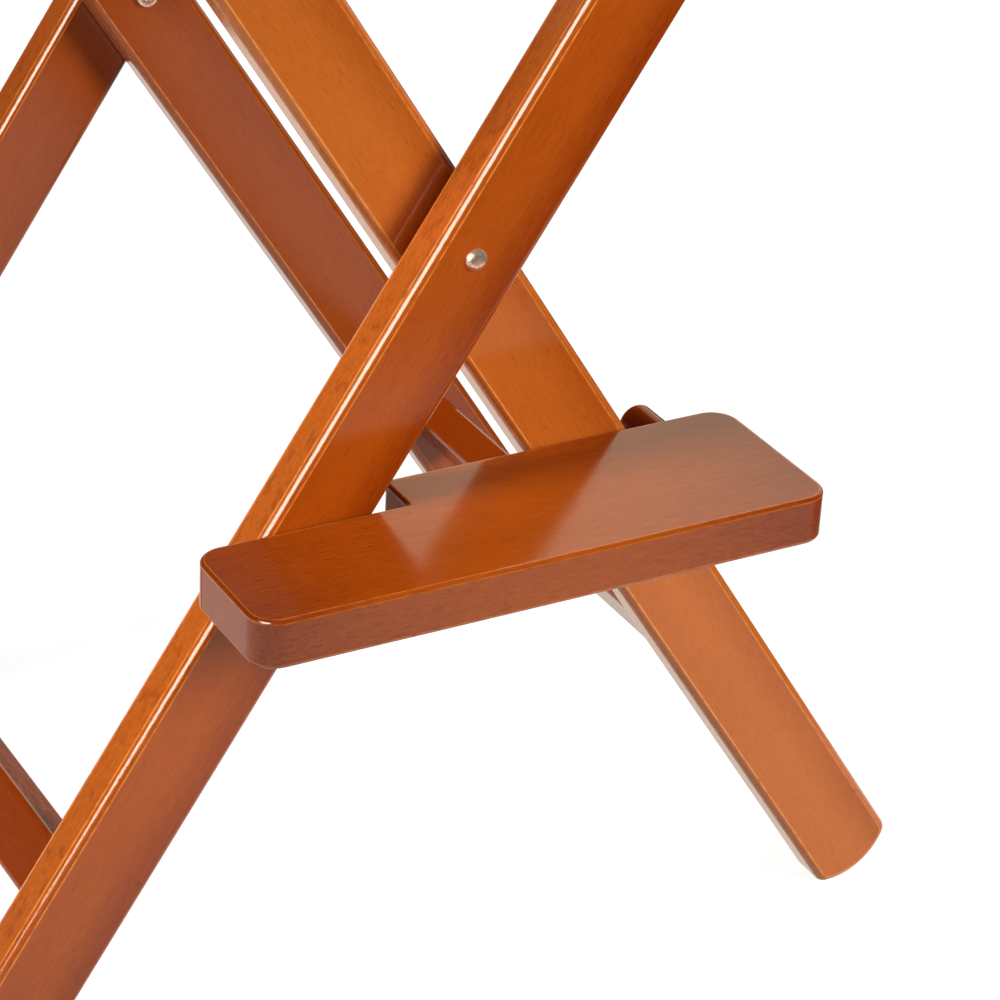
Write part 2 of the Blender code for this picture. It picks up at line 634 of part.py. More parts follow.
def back_canvas(carrier):
    """Back: a band that bows to the rear, with a sleeve over each back post."""
    half = CANVAS_THICK / 2
    wall = FIT + CANVAS_THICK
    inner = SEAT_PIVOT_X - HALF_POST - wall
    outer = SEAT_PIVOT_X + HALF_POST + wall
    middle = BACK_POST_Y + LEG_THICK / 2
    sleeve = arc_points(box_arcs(inner, BACK_POST_Y - wall, outer, SIDE_BACK_Y + wall, EDGE_ROUND + wall))
    band = []
    for k in range(CANVAS_SPANS + 1):
        share = k / CANVAS_SPANS
        band.append((inner * share, middle + BACK_BOW * (1 - share ** 2)))
    outline = [(x, y - half) for x, y in band] + sleeve + [(x, y + half) for x, y in band[::-1]]
    cutter = bmesh.new()
    for side in (-1, 1):
        near = side * (SEAT_PIVOT_X - HALF_POST - FIT)
        far = side * (SEAT_PIVOT_X + HALF_POST + FIT)
        hole = box_arcs(near, BACK_POST_Y - FIT, far, SIDE_BACK_Y + FIT, EDGE_ROUND + FIT)
        prism(arc_points(hole), BACK_BOTTOM - PAST, BACK_TOP + PAST, "Z", cutter)
    piece("back_canvas", prism(mirrored(outline), BACK_BOTTOM, BACK_TOP, "Z"), carrier, CANVAS, cutter)


clear_scene()
WOOD_LEG = material("stained_beech_leg", (0.42, 0.13, 0.03), 0.30)
WOOD_SIDE = material("stained_beech_side", (0.42, 0.13, 0.03), 0.30)
WOOD_FOOTREST = material("stained_beech_footrest", (0.36, 0.10, 0.02), 0.28)
WOOD_PLAIN = material("plain_beech", (0.62, 0.42, 0.24), 0.60)
STEEL = material("nickel_plated_steel", (0.75, 0.68, 0.62), 0.28, 1.0)
BRASS = material("brass", (0.72, 0.52, 0.22), 0.35, 1.0)
NYLON = material("clear_nylon", (0.80, 0.78, 0.72), 0.50)
CANVAS = material("natural_canvas", (0.72, 0.64, 0.50), 0.90)

OUTER = body("outer_frame", (0.0, 0.0, PIVOT_HEIGHT), LEG_ANGLE)
INNER = body("inner_frame", (0.0, 0.0, PIVOT_HEIGHT), -LEG_ANGLE)
FOOTREST = body("footrest", (HINGE_X, 0.0, FOOTREST_MID))
RIGHT = body("right_side", (SEAT_PIVOT_X, 0.0, SEAT_PIVOT_HEIGHT))
LEFT = body("left_side", (-SEAT_PIVOT_X, 0.0, SEAT_PIVOT_HEIGHT))
CLOTH = body("cloth", (0.0, 0.0, 0.0))

x_frames(OUTER, INNER)
footrest(OUTER, FOOTREST)
side_frame("right", 1, RIGHT)
side_frame("left", -1, LEFT)
seat_canvas(CLOTH)
back_canvas(CLOTH)
bpy.context.view_layer.update()
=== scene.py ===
"""Looks of a bar-height folding director's chair: lacquered beech, plated bolts and a canvas seat.

Every new piece is a numpy surface: an outline carried through the thickness of a board, a profile
turned about an axis, or cloth worked out on a grid. Metres, +Z up, the sitter faces -Y.
"""

import json
from itertools import count
from math import acos, asin, atan, ceil, cos, hypot, pi, radians, sin, sqrt

import bpy
import numpy as np
from mathutils import Matrix, Vector


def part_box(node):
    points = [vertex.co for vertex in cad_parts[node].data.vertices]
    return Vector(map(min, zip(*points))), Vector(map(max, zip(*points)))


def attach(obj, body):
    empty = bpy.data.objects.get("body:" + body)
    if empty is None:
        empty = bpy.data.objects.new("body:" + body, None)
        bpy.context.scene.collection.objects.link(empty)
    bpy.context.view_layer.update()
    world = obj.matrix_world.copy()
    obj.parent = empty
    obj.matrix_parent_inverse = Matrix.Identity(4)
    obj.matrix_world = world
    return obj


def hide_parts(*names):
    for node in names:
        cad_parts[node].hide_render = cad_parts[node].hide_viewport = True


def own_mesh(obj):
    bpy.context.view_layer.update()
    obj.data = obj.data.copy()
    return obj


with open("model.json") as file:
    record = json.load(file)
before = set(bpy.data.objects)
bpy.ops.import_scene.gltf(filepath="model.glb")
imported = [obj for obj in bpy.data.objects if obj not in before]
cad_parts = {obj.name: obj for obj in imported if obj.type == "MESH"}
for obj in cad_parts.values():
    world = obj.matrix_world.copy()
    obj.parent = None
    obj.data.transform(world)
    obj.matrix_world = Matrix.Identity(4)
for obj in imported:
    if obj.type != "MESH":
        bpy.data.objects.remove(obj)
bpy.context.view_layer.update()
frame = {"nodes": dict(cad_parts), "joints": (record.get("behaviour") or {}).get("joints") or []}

# Boards: stock sizes, edges and the play left between pieces
LEG_WIDTH = 0.040
LEG_EDGE = 0.0031
LEG_OFFSET = 0.0025
FOOT_RADIUS = 0.030
FOOT_CORNER = 0.006
FOOT_FLAT = 0.0006
FIT = 0.0003
STRETCHER = np.array([0.018, 0.027])
STRETCHER_EDGE = 0.0026
FOOTREST_EDGE = 0.0014
FOOTREST_STEP = -0.0255
FOOTREST_CORNER = 0.0115
STEP_CORNER = 0.0042
STEP_HOLLOW = 0.0004
RUNNING_GAP = 0.0005
PEG_EASE = 0.0012
POST_CORNER = 0.008
RAIL_ROUND = 0.004
RAIL_EASE = 0.0003
RAIL_MOUTH = 0.001
SLOT_WIDTH = 0.003
ARM_FRONT_CORNER = 0.022
ARM_BACK_CORNER = 0.008
ARRIS_ANGLE = radians(14)
SUPPORT = 0.0006
EDGE_STEPS = 8
ARC_STEP = radians(6)
SHARP = radians(35)
PEG_STEPS = 60
EVEN_RUB = (0.6, 0.6)
FOOTREST_SIDES = 0.25
BOARD_SHIFT = np.array([0.371, 0.113, 0.067])

# Hardware; a bolt's head is given by its radius and its height
NUT_DOME = 0.002
DOME_TIP = 0.03
DOME_STEPS = 14
NUT_HEAD_RADIUS = 0.0046
NUT_BARREL_RADIUS = 0.0042
BOLT_RADIUS = 0.003
BOLT_HEAD = (0.005, 0.0022)
BOLT_CHAMFER = 0.0006
SOCKET_RADIUS = 0.0023
SOCKET_DEPTH = 0.0016
SOCKET_POINT = 0.0003
SOCKET_LIP = 0.0002
HINGE_HEAD = (0.0055, 0.004)
SCREW_RADIUS = 0.0022
SCREW_HEAD_RADIUS = 0.0045
SCREW_HEAD_HEIGHT = 0.0024
SCREW_RIM = 0.0003
SCREW_POINT = 0.004
RECESS_RADIUS = 0.0026
RECESS_DEPTH = 0.0012
RECESS_ARM = 0.25
NEAR_ZERO = 0.01
TURN_STEPS = 48
PAST = 0.002

# Canvas
CLOTH_THICK = 0.0012
DOWEL_RADIUS = 0.004
SEAT_SLOPE = 0.17
SEAT_WAVES = 6
SEAT_LIP = 0.006
SLOT_BEND = 0.0025
RAIL_TURN_STEPS = 6
SLOT_TURN_STEPS = 10
LOOP_STEPS = 48
HEM_OPENING = 0.25
BACK_BOW = 0.012
BACK_DIP = 0.003
BACK_WAVES = 3
SLEEVE_LEAD = 0.014
SLEEVE_APEX = 0.0012
HEM_WIDTH = 0.016
HEM_FOLD = 0.0014
HEM_TAPER = 0.010
HEM_TURN_STEPS = 9
HEM_TUCK_STEPS = 6
RIPPLE = 0.0009
PULL_POWER = 5
CLOTH_COLUMNS = 97
CLOTH_ROWS = 60
STITCH_INSET = 0.003
STITCH_LENGTH = 0.0030
STITCH_PITCH = 0.0042
STITCH_RADIUS = 0.00035
STITCH_TIP = 0.97
STITCH_RINGS = 5
STITCH_SIDES = 6

# Camera, from the fit of the frame to the photograph: distance from the front pivot, and turns
CAMERA_FROM_PIVOT = (-0.57946, -1.02085, 0.53131)
CAMERA_AZIMUTH = radians(30.244)
CAMERA_TILT = radians(28.335)
CAMERA_ROLL = radians(2.981)
CAMERA_LENS = 123.494
SENSOR = 36.0
CLIP_START = 0.01

# Studio: how bright the room and the backdrop are, and the floor as camera, gloss and light see it
AMBIENT = (0.10, 0.10, 0.10, 1.0)
BACKDROP = (1.40, 1.30, 0.95, 1.0)
ROOM_GLOSS = (0.03, 0.03, 0.03, 1.0)
BACKDROP_LEFT = (0.33, 0.44)
BACKDROP_FRONT = (-0.2, 0.4)
STRIP_TINT = (1.0, 0.88, 0.74)
FLOOR_REACH = 9.0
FLOOR_FRONT = (-0.76, -0.67)
FLOOR_RIGHT = (0.62, 0.42)
FLOOR_GLOSS = (0.98, 0.89, 0.79, 1.0)
FLOOR_GLOW = 0.80
FLOOR_PAINT = 0.30

# Softboxes: turn to the right of the front and rise in degrees, distance, width, height, radiance
KEY_LIGHT = (40.0, 18.0, 2.1, 0.70, 0.70, 32.0)
SIDE_LIGHT = (-87.0, 35.0, 2.0, 0.5, 1.3, 23.5)
STRIP_LIGHT = (-55.0, 22.0, 2.0, 1.1, 1.3, 22.0)
REAR_LIGHT = (165.0, 12.0, 2.2, 0.9, 0.9, 5.0)
WHITE = (1.0, 1.0, 1.0)

# Stain: cells per metre along, across and through the grain, where each pattern starts and is full,
# and how far it moves the tone and lifts the lacquer
CLOUD_CELLS = (7.0, 22.0, 22.0)
FIBRE_CELLS = (110.0, 1400.0, 1400.0)
FLECK_CELLS = (210.0, 1500.0, 1500.0)
SPECKLE_CELLS = (330.0, 620.0, 620.0)
BLOTCH_CELLS = (130.0, 260.0, 260.0)
RUB_CELLS = (240.0, 90.0, 90.0)
PEEL_CELLS = (520.0,) * 3
FLECK_RAMP = (0.60, 0.74)
BLOTCH_RAMP = (0.54, 0.68)
RUB_RAMP = (0.15, 0.60)
# Where the painted shade across a face starts and is full
PAINTED_SHADE_RAMP = (-0.1, 1.1)
MEAN_TONE = 0.66
CLOUD_TONE = 0.6
FIBRE_TONE = 0.70
FLECK_TONE = 0.22
SPECKLE_TONE = 1.4
BLOTCH_TONE = 0.46
SIDE_TONE = 0.05
SIDE_RUB = 0.18
FIBRE_LIFT = 0.5
FLECK_LIFT = 0.4
PEEL_LIFT = 0.4
EDGE_LIFT = 1.8
STAIN_DEPTH = 0.00003
LACQUER_ROUGH = 0.11
FIBRE_ROUGH = 0.08

# Other materials, in the same way; the canvas is laid out in metres along its warp and its weft
DOWEL_FIBRE_CELLS = (1500.0, 40.0, 1500.0)
DOWEL_CLOUD_CELLS = (90.0, 9.0, 90.0)
PLATING_CELLS = (900.0,) * 3
PIT_CELLS = (4200.0,) * 3
WORN_RAMP = (0.42, 0.70)
PIT_RAMP = (0.62, 0.72)
NYLON_CELLS = (400.0,) * 3
TWIST_CELLS = (2600.0,) * 3
THREAD_PITCH = 0.0016
WARP_SLUB_CELLS = (60.0, 1400.0, 1.0)
WEFT_SLUB_CELLS = (1400.0, 60.0, 1.0)
SLUB_RAMP = (0.52, 0.75)
CANVAS_CELLS = (14.0, 14.0, 1.0)
RIDGE_TONE = 0.45
CANVAS_TONE = 0.55
SLUB_TONE = 0.22
SLUB_LIFT = 0.5
WEAVE_DEPTH = 0.0003

# Sockets by number: outputs of an attribute, inputs and output of a colour mix
VECTOR, VALUE = 1, 2
MIX_SHARE, MIX_FIRST, MIX_SECOND, MIX_RESULT = 0, 6, 7, 2

joints = {joint["name"]: joint for joint in frame["joints"]}
pivot = np.array(joints["fold"]["pos_m"])
seat_pivot = np.array(joints["right_side_pivot"]["pos_m"])
leg_reach = hypot(seat_pivot[0] - pivot[0], seat_pivot[2] - pivot[2])
leg_lean = acos((seat_pivot[2] - pivot[2]) / leg_reach) - asin(LEG_OFFSET / leg_reach)
leg_up = sqrt(leg_reach ** 2 - LEG_OFFSET ** 2)
X, Y, Z = np.eye(3)
ORIGIN = np.zeros(3)
FLAT = np.eye(3)
UPRIGHT = np.array([X, Z, Y])
board_numbers = count()


def span(node, axis):
    """Lowest and highest coordinate of a node along one axis."""
    low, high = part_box(node)
    return low[axis], high[axis]


class Wire:
    """A socket in a node tree. Arithmetic on wires, or on a wire and a number, adds Math nodes."""

    def __init__(self, tree, socket=None):
        self.tree = tree
        self.socket = socket

    def add(self, kind, settings=None, inputs=None, output=0):
        """Add one node: its settings are set first, then the values or links of its sockets."""
        node = self.tree.nodes.new(kind)
        for key, value in (settings or {}).items():
            setattr(node, key, value)
        for key, value in (inputs or {}).items():
            if isinstance(value, Wire):
                self.tree.links.new(value.socket, node.inputs[key])
            else:
                node.inputs[key].default_value = value
        return Wire(self.tree, node.outputs[output])

    def maths(self, operation, *others):
        return self.add("ShaderNodeMath", {"operation": operation}, dict(enumerate((self, *others))))

    def __add__(self, other):
        return self.maths("ADD", other)

    def __sub__(self, other):
        return self.maths("SUBTRACT", other)

    def __rsub__(self, other):
        return self.maths("MULTIPLY", -1.0) + other

    def __mul__(self, other):
        return self.maths("MULTIPLY", other)

    __radd__ = __add__
    __rmul__ = __mul__

    def ramp(self, low, high):
        """Smooth step from 0 at low to 1 at high."""
        inputs = {"Value": self, "From Min": low, "From Max": high}
        return self.add("ShaderNodeMapRange", {"interpolation_type": "SMOOTHSTEP"}, inputs)

    def stretched(self, scale):
        """This vector with each of its parts multiplied."""
        return self.add("ShaderNodeVectorMath", {"operation": "MULTIPLY"}, {0: self, 1: scale})

    def noise(self, scale, detail=2.0, roughness=0.5):
        """Noise between 0 and 1 at this vector times scale, so scale is in cells per metre."""
        place = self.stretched(scale)
        inputs = {"Vector": place, "Scale": 1.0, "Detail": detail, "Roughness": roughness}
        return self.add("ShaderNodeTexNoise", None, inputs)

    def parts(self):
        """The three parts of this vector."""
        return [self.add("ShaderNodeSeparateXYZ", None, {0: self}, k) for k in range(3)]

    def mix(self, first, second):
        """Colour that goes from first to second as this wire goes from 0 to 1."""
        inputs = {MIX_SHARE: self, MIX_FIRST: first, MIX_SECOND: second}
        return self.add("ShaderNodeMix", {"data_type": "RGBA"}, inputs, MIX_RESULT)

    def attribute(self, name, output):
        return self.add("ShaderNodeAttribute", {"attribute_name": name}, None, output)

    def bump(self, distance, strength):
        """Normal of a surface that this wire lifts by up to distance."""
        inputs = {"Height": self, "Distance": distance, "Strength": strength}
        return self.add("ShaderNodeBump", None, inputs)


def principled(name, constants, wires):
    """Material with a Principled shader: constants go on its sockets, wires(start) gives its links."""
    material = bpy.data.materials.new(name)
    material.use_nodes = True
    shader = material.node_tree.nodes["Principled BSDF"]
    for key, value in constants.items():
        shader.inputs[key].default_value = value
    for key, wire in wires(Wire(material.node_tree)).items():
        material.node_tree.links.new(wire.socket, shader.inputs[key])
    return material


def rgb(red, green, blue):
    return (red, green, blue, 1.0)


def object_place(start):
    """Place of a point in its own object."""
    return start.add("ShaderNodeTexCoord", None, None, "Object")


def stained_beech(name, deep, pale, rub, painted_edge_shade, ends=0.0, shine=0.5):
    """Beech under a stain and a lacquer, from a deep tone to a pale one.

    The tone clouds slowly. Painted shade darkens it towards one edge of each face, by the strength
    given after rub, and towards both ends by ends. Fibres and short flecks break it up. The narrow
    sides take it unevenly and a little thinner, and it is rubbed thin along each arris. shine is the
    strength of the lacquer's gloss.
    """
    def wires(start):
        grain = start.attribute("grain", VECTOR)
        side = start.attribute("side", VALUE)
        arris = start.attribute("arris", VALUE)
        across = start.attribute("across", VALUE)
        cloud = grain.noise(CLOUD_CELLS, 3.0)
        fibre = grain.noise(FIBRE_CELLS, 3.0, 0.65)
        fleck = grain.noise(FLECK_CELLS, 1.0).ramp(*FLECK_RAMP)
        speckle = grain.noise(SPECKLE_CELLS, 3.0, 0.65)
        blotch = grain.noise(BLOTCH_CELLS, 2.0, 0.6).ramp(*BLOTCH_RAMP)
        even = MEAN_TONE + (cloud - 0.5) * CLOUD_TONE + (fibre - 0.5) * FIBRE_TONE - fleck * FLECK_TONE
        uneven = (speckle - 0.5) * SPECKLE_TONE - blotch * BLOTCH_TONE - SIDE_TONE
        # Painted shade: darker towards one edge of each face, and towards both ends of a board
        shade = across.ramp(*PAINTED_SHADE_RAMP) * painted_edge_shade + across * across * ends
        tone = even + side * uneven - shade
        rubbed = arris * grain.noise(RUB_CELLS, 2.0).ramp(*RUB_RAMP)
        edge = side * (1 - side) * 4.0
        peel = grain.noise(PEEL_CELLS, 1.0)
        height = fibre * FIBRE_LIFT - fleck * FLECK_LIFT + peel * PEEL_LIFT + edge * speckle * EDGE_LIFT
        return {
            "Base Color": (rubbed + side * SIDE_RUB).mix(tone.mix(deep, pale), rub),
            "Roughness": LACQUER_ROUGH + fibre * FIBRE_ROUGH,
            "Normal": height.bump(STAIN_DEPTH, 1.0),
        }
    return principled(name, {"IOR": 1.5, "Specular IOR Level": shine}, wires)


def plain_beech(name, dark, pale):
    """Bare dowel: pale wood with fine fibres along its length."""
    def wires(start):
        place = object_place(start)
        fibre = place.noise(DOWEL_FIBRE_CELLS, 3.0)
        cloud = place.noise(DOWEL_CLOUD_CELLS)
        tone = (fibre * 0.7 + cloud * 0.6 - 0.15).ramp(0.1, 0.9)
        return {
            "Base Color": tone.mix(dark, pale),
            "Roughness": 0.5 + fibre * 0.2,
            "Normal": fibre.bump(0.00005, 0.6),
        }
    return principled(name, {}, wires)


def plated(name, clean, dull, rough, metal):
    """Plated metal: clouded plating with fine pits and small dull spots."""
    def wires(start):
        place = object_place(start)
        cloud = place.noise(PLATING_CELLS, 3.0, 0.6)
        pits = place.noise(PIT_CELLS, 2.0).ramp(*PIT_RAMP)
        worn = cloud.ramp(*WORN_RAMP)
        return {
            "Base Color": (worn * 0.7 + pits * 0.3).mix(clean, dull),
            "Roughness": rough + worn * 0.15 + pits * 0.1,
            "Normal": (cloud * 0.7 - pits * 0.5).bump(0.00004, 0.7),
        }
    return principled(name, {"Metallic": metal}, wires)


def clouded(name, cells, detail, rough, dark, pale):
    """Plain material with faint clouds: the flow of washer plastic, or the twist of sewing thread."""
    def wires(start):
        cloud = object_place(start).noise(cells, detail)
        return {"Base Color": cloud.mix(dark, pale), "Roughness": rough + cloud * 0.2}
    return principled(name, {}, wires)


def canvas(name, shadow, light):
    """Plain-woven cotton canvas on UVs in metres: warp and weft cross, with painted shade between the
    threads, slubs and soft clouds.
    """
    def wires(start):
        cloth = start.add("ShaderNodeUVMap", {"uv_map": "cloth"})
        u, v, _ = cloth.parts()
        threads = 2 * pi / THREAD_PITCH
        warp = (u * threads).maths("SINE")
        weft = (v * threads).maths("SINE")
        over = (warp * weft).ramp(-0.9, 0.9)
        # ridge lifts the crowns of the threads and leaves the gaps between them dark: painted shade of
        # the weave, which the bump also uses
        ridge = over * warp.maths("ABSOLUTE") + (1 - over) * weft.maths("ABSOLUTE")
        slub_u = cloth.noise(WARP_SLUB_CELLS, 2.0).ramp(*SLUB_RAMP)
        slub_v = cloth.noise(WEFT_SLUB_CELLS, 2.0).ramp(*SLUB_RAMP)
        cloud = cloth.noise(CANVAS_CELLS, 3.0)
        slubs = (slub_u + slub_v) * SLUB_TONE
        tone = (ridge * RIDGE_TONE + cloud * CANVAS_TONE + slubs - 0.1).ramp(0.0, 1.0)
        return {
            "Base Color": tone.mix(shadow, light),
            "Roughness": 0.8 + cloud * 0.15,
            "Normal": (ridge + slub_u * SLUB_LIFT + slub_v * SLUB_LIFT).bump(WEAVE_DEPTH, 0.8),
        }
    return principled(name, {"Sheen Weight": 0.15, "Specular IOR Level": 0.2}, wires)


def new_object(name, data):
    item = bpy.data.objects.new(name, data)
    bpy.context.scene.collection.objects.link(item)
    return item


def mesh_piece(name, points, faces):
    """Object at the origin from points and faces, smooth but for its sharp edges."""
    mesh = bpy.data.meshes.new(name)
    mesh.from_pydata(points.reshape(-1, 3).tolist(), [], faces)
    mesh.validate()
    mesh.shade_smooth()
    mesh.set_sharp_from_angle(angle=SHARP)
    return new_object(name, mesh)


def grid_faces(rows, columns, around):
    """Quads of a grid of points, joined round its columns where it closes on itself."""
    index = np.arange(rows * columns).reshape(rows, columns)
    if around:
        index = np.hstack([index, index[:, :1]])
    corners = (index[:-1, :-1], index[:-1, 1:], index[1:, 1:], index[1:, :-1])
    return np.stack(corners, -1).reshape(-1, 4)


def closed_piece(name, rings):
    """Closed solid from a stack of rings, capped at both ends. Its faces are turned to look out."""
    rows, columns = rings.shape[:2]
    quads = grid_faces(rows, columns, True)
    last = (rows - 1) * columns
    ends = [list(range(columns))[::-1], list(range(last, last + columns))]
    a, b, c, d = (rings.reshape(-1, 3)[quads[:, k]] for k in range(4))
    middle = rings.reshape(-1, 3).mean(0)
    volume = np.einsum("ij,ij->", (a + c) / 2 - middle, np.cross(c - a, d - b))
    faces = quads.tolist() + ends
    if volume < 0:
        faces = [face[::-1] for face in faces]
    return mesh_piece(name, rings, faces)


def set_attribute(item, name, values, kind="FLOAT"):
    field = "vector" if kind == "FLOAT_VECTOR" else "value"
    layer = item.data.attributes.new(name, kind, "POINT")
    layer.data.foreach_set(field, np.asarray(values, np.float32).ravel())


def points_of(item):
    places = np.empty(len(item.data.vertices) * 3, np.float32)
    item.data.vertices.foreach_get("co", places)
    return places.reshape(-1, 3)


def cut(item, *rings):
    """Take closed solids, given by their rings, out of a piece."""
    for stack in rings:
        tool = closed_piece(item.name + "_cutter", stack)
        change = item.modifiers.new("cut", "BOOLEAN")
        change.solver = "EXACT"
        change.object = tool
        bpy.context.view_layer.update()
        seen = item.evaluated_get(bpy.context.evaluated_depsgraph_get())
        item.data = bpy.data.meshes.new_from_object(seen)
        item.modifiers.clear()
        bpy.data.objects.remove(tool)
    item.data.shade_smooth()
    item.data.set_sharp_from_angle(angle=SHARP)


def corner_arcs(corners):
    """Arcs (centre p, centre q, signed radius, start, end) round a counter-clockwise outline.

    Each corner is (p, q, radius). A hollow corner has a negative radius, so that the point at an
    angle is centre + radius * direction, and the direction there is the way out of the material.
    """
    arcs = []
    for i, (p, q, radius) in enumerate(corners):
        before = corners[i - 1]
        after = corners[(i + 1) % len(corners)]
        start = np.arctan2(q - before[1], p - before[0]) - pi / 2
        end = np.arctan2(after[1] - q, after[0] - p) - pi / 2
        turn = (end - start + pi) % (2 * pi) - pi
        signed = radius if turn > 0 else -radius
        reach = signed / cos(turn / 2)
        middle = start + turn / 2
        arcs.append((p - reach * cos(middle), q - reach * sin(middle), signed, start, start + turn))
    return arcs


def box_arcs(low, high, radius):
    corners = [(low[0], low[1]), (high[0], low[1]), (high[0], high[1]), (low[0], high[1])]
    return corner_arcs([(p, q, radius) for p, q in corners])


def outline(arcs):
    """Points round an outline and the way out at each: arcs, joined by straight runs.

    A long straight run gets a point just inside each end, so that its shading stays flat.
    """
    places = []
    outs = []
    for p, q, radius, start, end in arcs:
        angles = np.linspace(start, end, max(2, ceil(abs(end - start) / ARC_STEP) + 1))
        out = np.stack([np.cos(angles), np.sin(angles)], -1)
        places.append(np.array([p, q]) + radius * out)
        outs.append(out)
    points = []
    normals = []
    for i, place in enumerate(places):
        following = places[(i + 1) % len(places)]
        run = following[0] - place[-1]
        length = np.linalg.norm(run)
        points.append(place)
        normals.append(outs[i])
        if length > 3 * SUPPORT:
            step = run / length * SUPPORT
            points.append(np.stack([place[-1] + step, following[0] - step]))
            normals.append(np.stack([outs[i][-1], outs[(i + 1) % len(places)][0]]))
    return np.concatenate(points), np.concatenate(normals)


def edge_profile(low, high, edge):
    """Rings of a board from low to high: inset, level, nearness to an arris and share of side.

    Each eased edge is an arc that meets face and side at a small angle, which leaves an arris.
    Its radius is edge / (cos a - sin a) for that angle a.
    """
    if not edge:
        return np.zeros(2), np.array([low, high]), np.zeros(2), np.zeros(2)
    turn = np.linspace(ARRIS_ANGLE, pi / 2 - ARRIS_ANGLE, EDGE_STEPS + 1)
    radius = edge / (cos(ARRIS_ANGLE) - sin(ARRIS_ANGLE))
    inset = edge - radius * (np.sin(turn) - sin(ARRIS_ANGLE))
    depth = radius * (cos(ARRIS_ANGLE) - np.cos(turn))
    share = np.linspace(0.0, 1.0, EDGE_STEPS + 1)
    arris = np.zeros(EDGE_STEPS + 1)
    arris[[0, -1]] = 1.0
    inset = np.concatenate([[edge + SUPPORT], inset, [0.0]])
    depth = np.concatenate([[0.0], depth, [edge + SUPPORT]])
    share = np.concatenate([[0.0], share, [1.0]])
    arris = np.concatenate([[0.0], arris, [0.0]])
    level = np.concatenate([low + depth, high - depth[::-1]])
    inset, arris, share = (np.concatenate([row, row[::-1]]) for row in (inset, arris, share))
    return inset, level, arris, share


def board(name, arcs, low, high, edge, origin, axes, grain, cutters=(), rubbed=EVEN_RUB, sides=1.0):
    """Board: an outline in the first two axes, carried from low to high along the third.

    grain is the axis that the fibres follow. The place of each point along, across and through the
    grain is kept on the mesh, moved on for each board so that no two boards look alike. rubbed says
    how far the arrises are worn at the low and the high end of the first axis, and sides how uneven
    the stain is on the narrow sides.
    """
    points, outs = outline(arcs)
    inset, level, arris, share = edge_profile(low, high, edge)
    flat = points[None] - inset[:, None, None] * outs[None]
    rings = origin + flat @ axes[:2] + level[:, None, None] * axes[2]
    rings[..., 2] = np.maximum(rings[..., 2], 0.0)
    item = closed_piece(name, rings)
    worn = rubbed[0] + (rubbed[1] - rubbed[0]) * (1 + outs[:, 0]) / 2
    place = np.interp(points[:, 0], [points[:, 0].min(), points[:, 0].max()], [-1.0, 1.0])
    set_attribute(item, "arris", np.outer(arris, worn))
    # across runs from -1 to 1 over the board; the stain's painted shade is laid along it
    set_attribute(item, "across", np.tile(place, len(arris)))
    set_attribute(item, "side", np.repeat(share * sides, len(points)))
    if cutters:
        cut(item, *cutters)
    order = [axes[grain]] + [axes[k] for k in range(3) if k != grain]
    shift = next(board_numbers) * BOARD_SHIFT
    places = (points_of(item) - origin) @ np.array(order).T + shift
    set_attribute(item, "grain", places, "FLOAT_VECTOR")
    return item


def dress(item, material, body, slot, *nodes):
    """Give a piece its material and its body, and hide the nodes it stands for. slot, its slot in the
    record, is not used.
    """
    item.data.materials.clear()
    item.data.materials.append(material)
    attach(item, body)
    if nodes:
        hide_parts(*nodes)


def repaint(node, material):
    """Give a CAD node that stays in view its material."""
    mesh = frame["nodes"][node].data
    mesh.materials.clear()
    mesh.materials.append(material)


def hexagon(angles):
    """Radius of a hexagon of corner radius 1 at each angle."""
    return cos(pi / 6) / np.cos((angles % (pi / 3)) - pi / 6)


def cross(angles):
    """Radius of a cross of arm 1 at each angle: the larger of two bars."""
    def bar(along, aside):
        end = 1 / np.maximum(abs(along), NEAR_ZERO)
        return np.minimum(end, RECESS_ARM / np.maximum(abs(aside), NEAR_ZERO))

    across, up = np.cos(angles), np.sin(angles)
    return np.maximum(bar(across, up), bar(up, across))


def turned_rings(profile, tip, inward):
    """Rings turned about a line from its tip.

    Rows of profile are (radius, depth), and (radius, depth, outline function) where not round.
    """
    angles = np.linspace(0.0, 2 * pi, TURN_STEPS, endpoint=False)

    def radii_of(radius, depth, shape=np.ones_like):
        return radius * shape(angles)

    first = np.cross(inward, X if abs(inward[0]) < 0.5 else Z)
    second = np.cross(inward, first)
    ways = np.cos(angles)[:, None] * first + np.sin(angles)[:, None] * second
    radii = np.stack([radii_of(*row) for row in profile])
    depths = np.array([row[1] for row in profile])
    return np.asarray(tip) + radii[..., None] * ways[None] + depths[:, None, None] * inward


def tip_of(node, axis, sign):
    """Middle of a node's end face on one side, the way in from it, and the node's length."""
    low, high = (np.array(corner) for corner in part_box(node))
    tip = (low + high) / 2
    tip[axis] = high[axis] if sign > 0 else low[axis]
    inward = -sign * np.eye(3)[axis]
    return tip, inward, high[axis] - low[axis]


def dome_profile(length):
    """Cap nut: a low crown that drops as the fourth power of the radius, a rim and a plain barrel."""
    shares = np.linspace(DOME_TIP, 1.0, DOME_STEPS)
    rows = [(NUT_HEAD_RADIUS * share, NUT_DOME * share ** 4) for share in shares]
    rim = NUT_DOME + FIT
    return rows + [(NUT_HEAD_RADIUS, rim), (NUT_BARREL_RADIUS, rim), (NUT_BARREL_RADIUS, length)]


